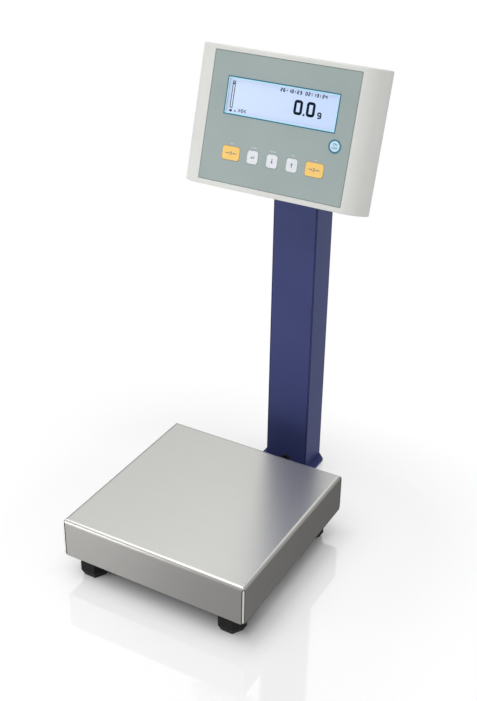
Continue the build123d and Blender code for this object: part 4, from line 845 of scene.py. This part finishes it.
def white_acrylic():
    """White acrylic table, polished: matt white under a weak mirror that shows beside the pan.

    The eye, metal and glass see it a little lifted, and pure white from some way off, where it
    meets the white surroundings. It keeps the object's shadow, but painted light lifts that shadow part
    way toward white from under the pan's rim outward, starting later at the pan's sides.
    """
    mirror_share = 0.26
    # Metres beyond the pan's rim: where the mirror starts to fade and where it ends, where painted
    # light starts to lift the shadow under the rim and where it is lifted, and where the table is all white
    mirror_low, mirror_high = 0.13, 0.22
    lift_low, lift_high = -0.028, 0.014
    all_white = 0.24
    # The painted lift starts this much farther out at the pan's sides than in front of it, so the
    # shadow reaches farther there
    side_lift_delay = 0.014
    painted_lift_share = 0.45
    material, tree = new_material("white_acrylic_table")
    place = add(tree, "ShaderNodeTexCoord").outputs["Object"]
    from_pan = add(
        tree, "ShaderNodeVectorMath", {"operation": "SUBTRACT", 1: (*PAN_CENTRE[:2], 0)}, {0: place}
    ).outputs["Vector"]
    folded = add(tree, "ShaderNodeVectorMath", {"operation": "ABSOLUTE"}, {0: from_pan}).outputs["Vector"]
    beyond = add(
        tree, "ShaderNodeVectorMath", {"operation": "SUBTRACT", 1: (*PAN_HALF[:2], 0)}, {0: folded}
    ).outputs["Vector"]
    outside = add(
        tree, "ShaderNodeVectorMath", {"operation": "MAXIMUM", 1: (0, 0, 0)}, {0: beyond}
    ).outputs["Vector"]
    distance = add(tree, "ShaderNodeVectorMath", {"operation": "LENGTH"}, {0: outside}).outputs["Value"]
    mirror_fade = add(
        tree, "ShaderNodeMapRange",
        {"From Min": mirror_low, "From Max": mirror_high, "To Min": mirror_share, "To Max": 0.0},
        {"Value": distance},
    ).outputs["Result"]
    sides = add(tree, "ShaderNodeSeparateXYZ", links={"Vector": beyond}).outputs
    past_side = add(
        tree, "ShaderNodeMath", {"operation": "SUBTRACT", 1: side_lift_delay}, {0: sides["X"]}
    ).outputs["Value"]
    past_rim = add(
        tree, "ShaderNodeMath", {"operation": "MAXIMUM"}, {0: past_side, 1: sides["Y"]}
    ).outputs["Value"]
    # Painted light: white mixed over the shadow from just under the pan's rim outward
    painted_lift_near_rim = add(
        tree, "ShaderNodeMapRange", {"From Min": lift_low, "From Max": lift_high, "To Max": painted_lift_share},
        {"Value": past_rim},
    ).outputs["Result"]
    far_fade = add(
        tree, "ShaderNodeMapRange", {"From Min": 0.0, "From Max": all_white}, {"Value": distance}
    ).outputs["Result"]
    white_fade = add(
        tree, "ShaderNodeMath", {"operation": "MAXIMUM"}, {0: painted_lift_near_rim, 1: far_fade}
    ).outputs["Value"]
    cloud = add(tree, "ShaderNodeTexNoise", {"Scale": per_metre(300)}, {"Vector": place}).outputs["Fac"]
    plain_colour = add(
        tree, "ShaderNodeMix",
        {"data_type": "RGBA", FIRST_COLOUR: linear("#EEEEEE"), SECOND_COLOUR: linear("#F6F6F6")},
        {"Factor": cloud},
    ).outputs[MIXED_COLOUR]
    plain = add(tree, "ShaderNodeBsdfDiffuse", links={"Color": plain_colour}).outputs["BSDF"]
    lifted = add(tree, "ShaderNodeBsdfDiffuse", {"Color": (1.1, 1.1, 1.1, 1)}).outputs["BSDF"]
    mirror = add(tree, "ShaderNodeBsdfGlossy", {"Roughness": 0.05}).outputs["BSDF"]
    near = add(
        tree, "ShaderNodeMixShader", links={"Fac": mirror_fade, 1: lifted, 2: mirror}
    ).outputs["Shader"]
    white = add(tree, "ShaderNodeEmission", {"Strength": 1.0}).outputs["Emission"]
    seen = add(tree, "ShaderNodeMixShader", links={"Fac": white_fade, 1: near, 2: white}).outputs["Shader"]
    surface = add(
        tree, "ShaderNodeMixShader", links={"Fac": eye_or_mirror(tree), 1: plain, 2: seen}
    ).outputs["Shader"]
    add(tree, "ShaderNodeOutputMaterial", links={"Surface": surface})
    return material


def eye_or_mirror(tree):
    """Share that is 1 for rays from the camera, a mirror or glass, and 0 for the light they gather."""
    ray = add(tree, "ShaderNodeLightPath").outputs
    mirrored = {0: ray["Is Camera Ray"], 1: ray["Is Glossy Ray"]}
    eye = add(tree, "ShaderNodeMath", {"operation": "MAXIMUM"}, mirrored).outputs["Value"]
    through = {0: eye, 1: ray["Is Transmission Ray"]}
    return add(tree, "ShaderNodeMath", {"operation": "MAXIMUM"}, through).outputs["Value"]


# Table, wide enough for every view
TABLE_SIZE = 80
table_mesh = bpy.data.meshes.new("table")
table_shape = bmesh.new()
bmesh.ops.create_grid(table_shape, x_segments=1, y_segments=1, size=TABLE_SIZE / 2)
table_shape.to_mesh(table_mesh)
table_shape.free()
table_mesh.materials.append(white_acrylic())
table = bpy.data.objects.new("table", table_mesh)
bpy.context.collection.objects.link(table)

# Even white surroundings, dimmer as a light than as what the eye and the metal see
SKY_AS_LIGHT = 0.34
SKY_AS_SEEN = 1.0
WHITE = (1, 1, 1, 1)
world = bpy.data.worlds.new("studio")
bpy.context.scene.world = world
world.use_nodes = True
sky = world.node_tree
sky.nodes.clear()
sky_light = add(
    sky, "ShaderNodeBackground", {"Color": WHITE, "Strength": SKY_AS_LIGHT}
).outputs["Background"]
sky_white = add(
    sky, "ShaderNodeBackground", {"Color": WHITE, "Strength": SKY_AS_SEEN}
).outputs["Background"]
sky_surface = add(
    sky, "ShaderNodeMixShader", links={"Fac": eye_or_mirror(sky), 1: sky_light, 2: sky_white}
).outputs["Shader"]
add(sky, "ShaderNodeOutputWorld", links={"Surface": sky_surface})


def soft_light(name, place, target, size, power):
    """Square soft box: an area light turned to its target, in metres and watts."""
    lamp = bpy.data.lights.new(name, "AREA")
    lamp.size = size
    lamp.energy = power
    soft_box = bpy.data.objects.new(name, lamp)
    soft_box.location = place
    soft_box.rotation_euler = (Vector(target) - Vector(place)).to_track_quat("-Z", "Y").to_euler()
    bpy.context.collection.objects.link(soft_box)


# The key light hangs over the left front, a low one stands under it, and one stands behind on the right
soft_light("key_light", place=(-0.2, -0.4, 1.9), target=(0, 0, 0.2), size=1.8, power=23.3)
soft_light("low_light", place=(-0.43, -0.66, 0.12), target=(0, 0.05, 0.4), size=0.35, power=3.0)
soft_light("rear_light", place=(1.5, 0.3, 0.7), target=(0, 0, 0.4), size=0.8, power=4.6)

# Camera, solved from the photograph's perspective
YAW = math.radians(29.3122)
PITCH = math.radians(28.9957)
ROLL = math.radians(0.7961)
CAMERA_PLACE = Vector((550.5, -972.9, 858.2)) * MM
LENS_MM = 59.03
SENSOR_MM = 36
back = Vector((math.sin(YAW) * math.cos(PITCH), -math.cos(YAW) * math.cos(PITCH), math.sin(PITCH)))
level_right = (-back).cross(Vector((0, 0, 1))).normalized()
level_up = level_right.cross(-back)
camera_right = level_right * math.cos(ROLL) + level_up * math.sin(ROLL)
camera_up = level_up * math.cos(ROLL) - level_right * math.sin(ROLL)
camera = bpy.data.objects.new("camera", bpy.data.cameras.new("camera"))
camera.data.lens = LENS_MM
camera.data.sensor_width = SENSOR_MM
camera.data.clip_start = 0.05
camera.data.clip_end = 200
turned = Matrix((camera_right, camera_up, back)).transposed().to_4x4()
camera.matrix_world = Matrix.Translation(CAMERA_PLACE) @ turned
bpy.context.collection.objects.link(camera)
bpy.context.scene.camera = camera
bpy.context.scene.view_settings.view_transform = "Standard"
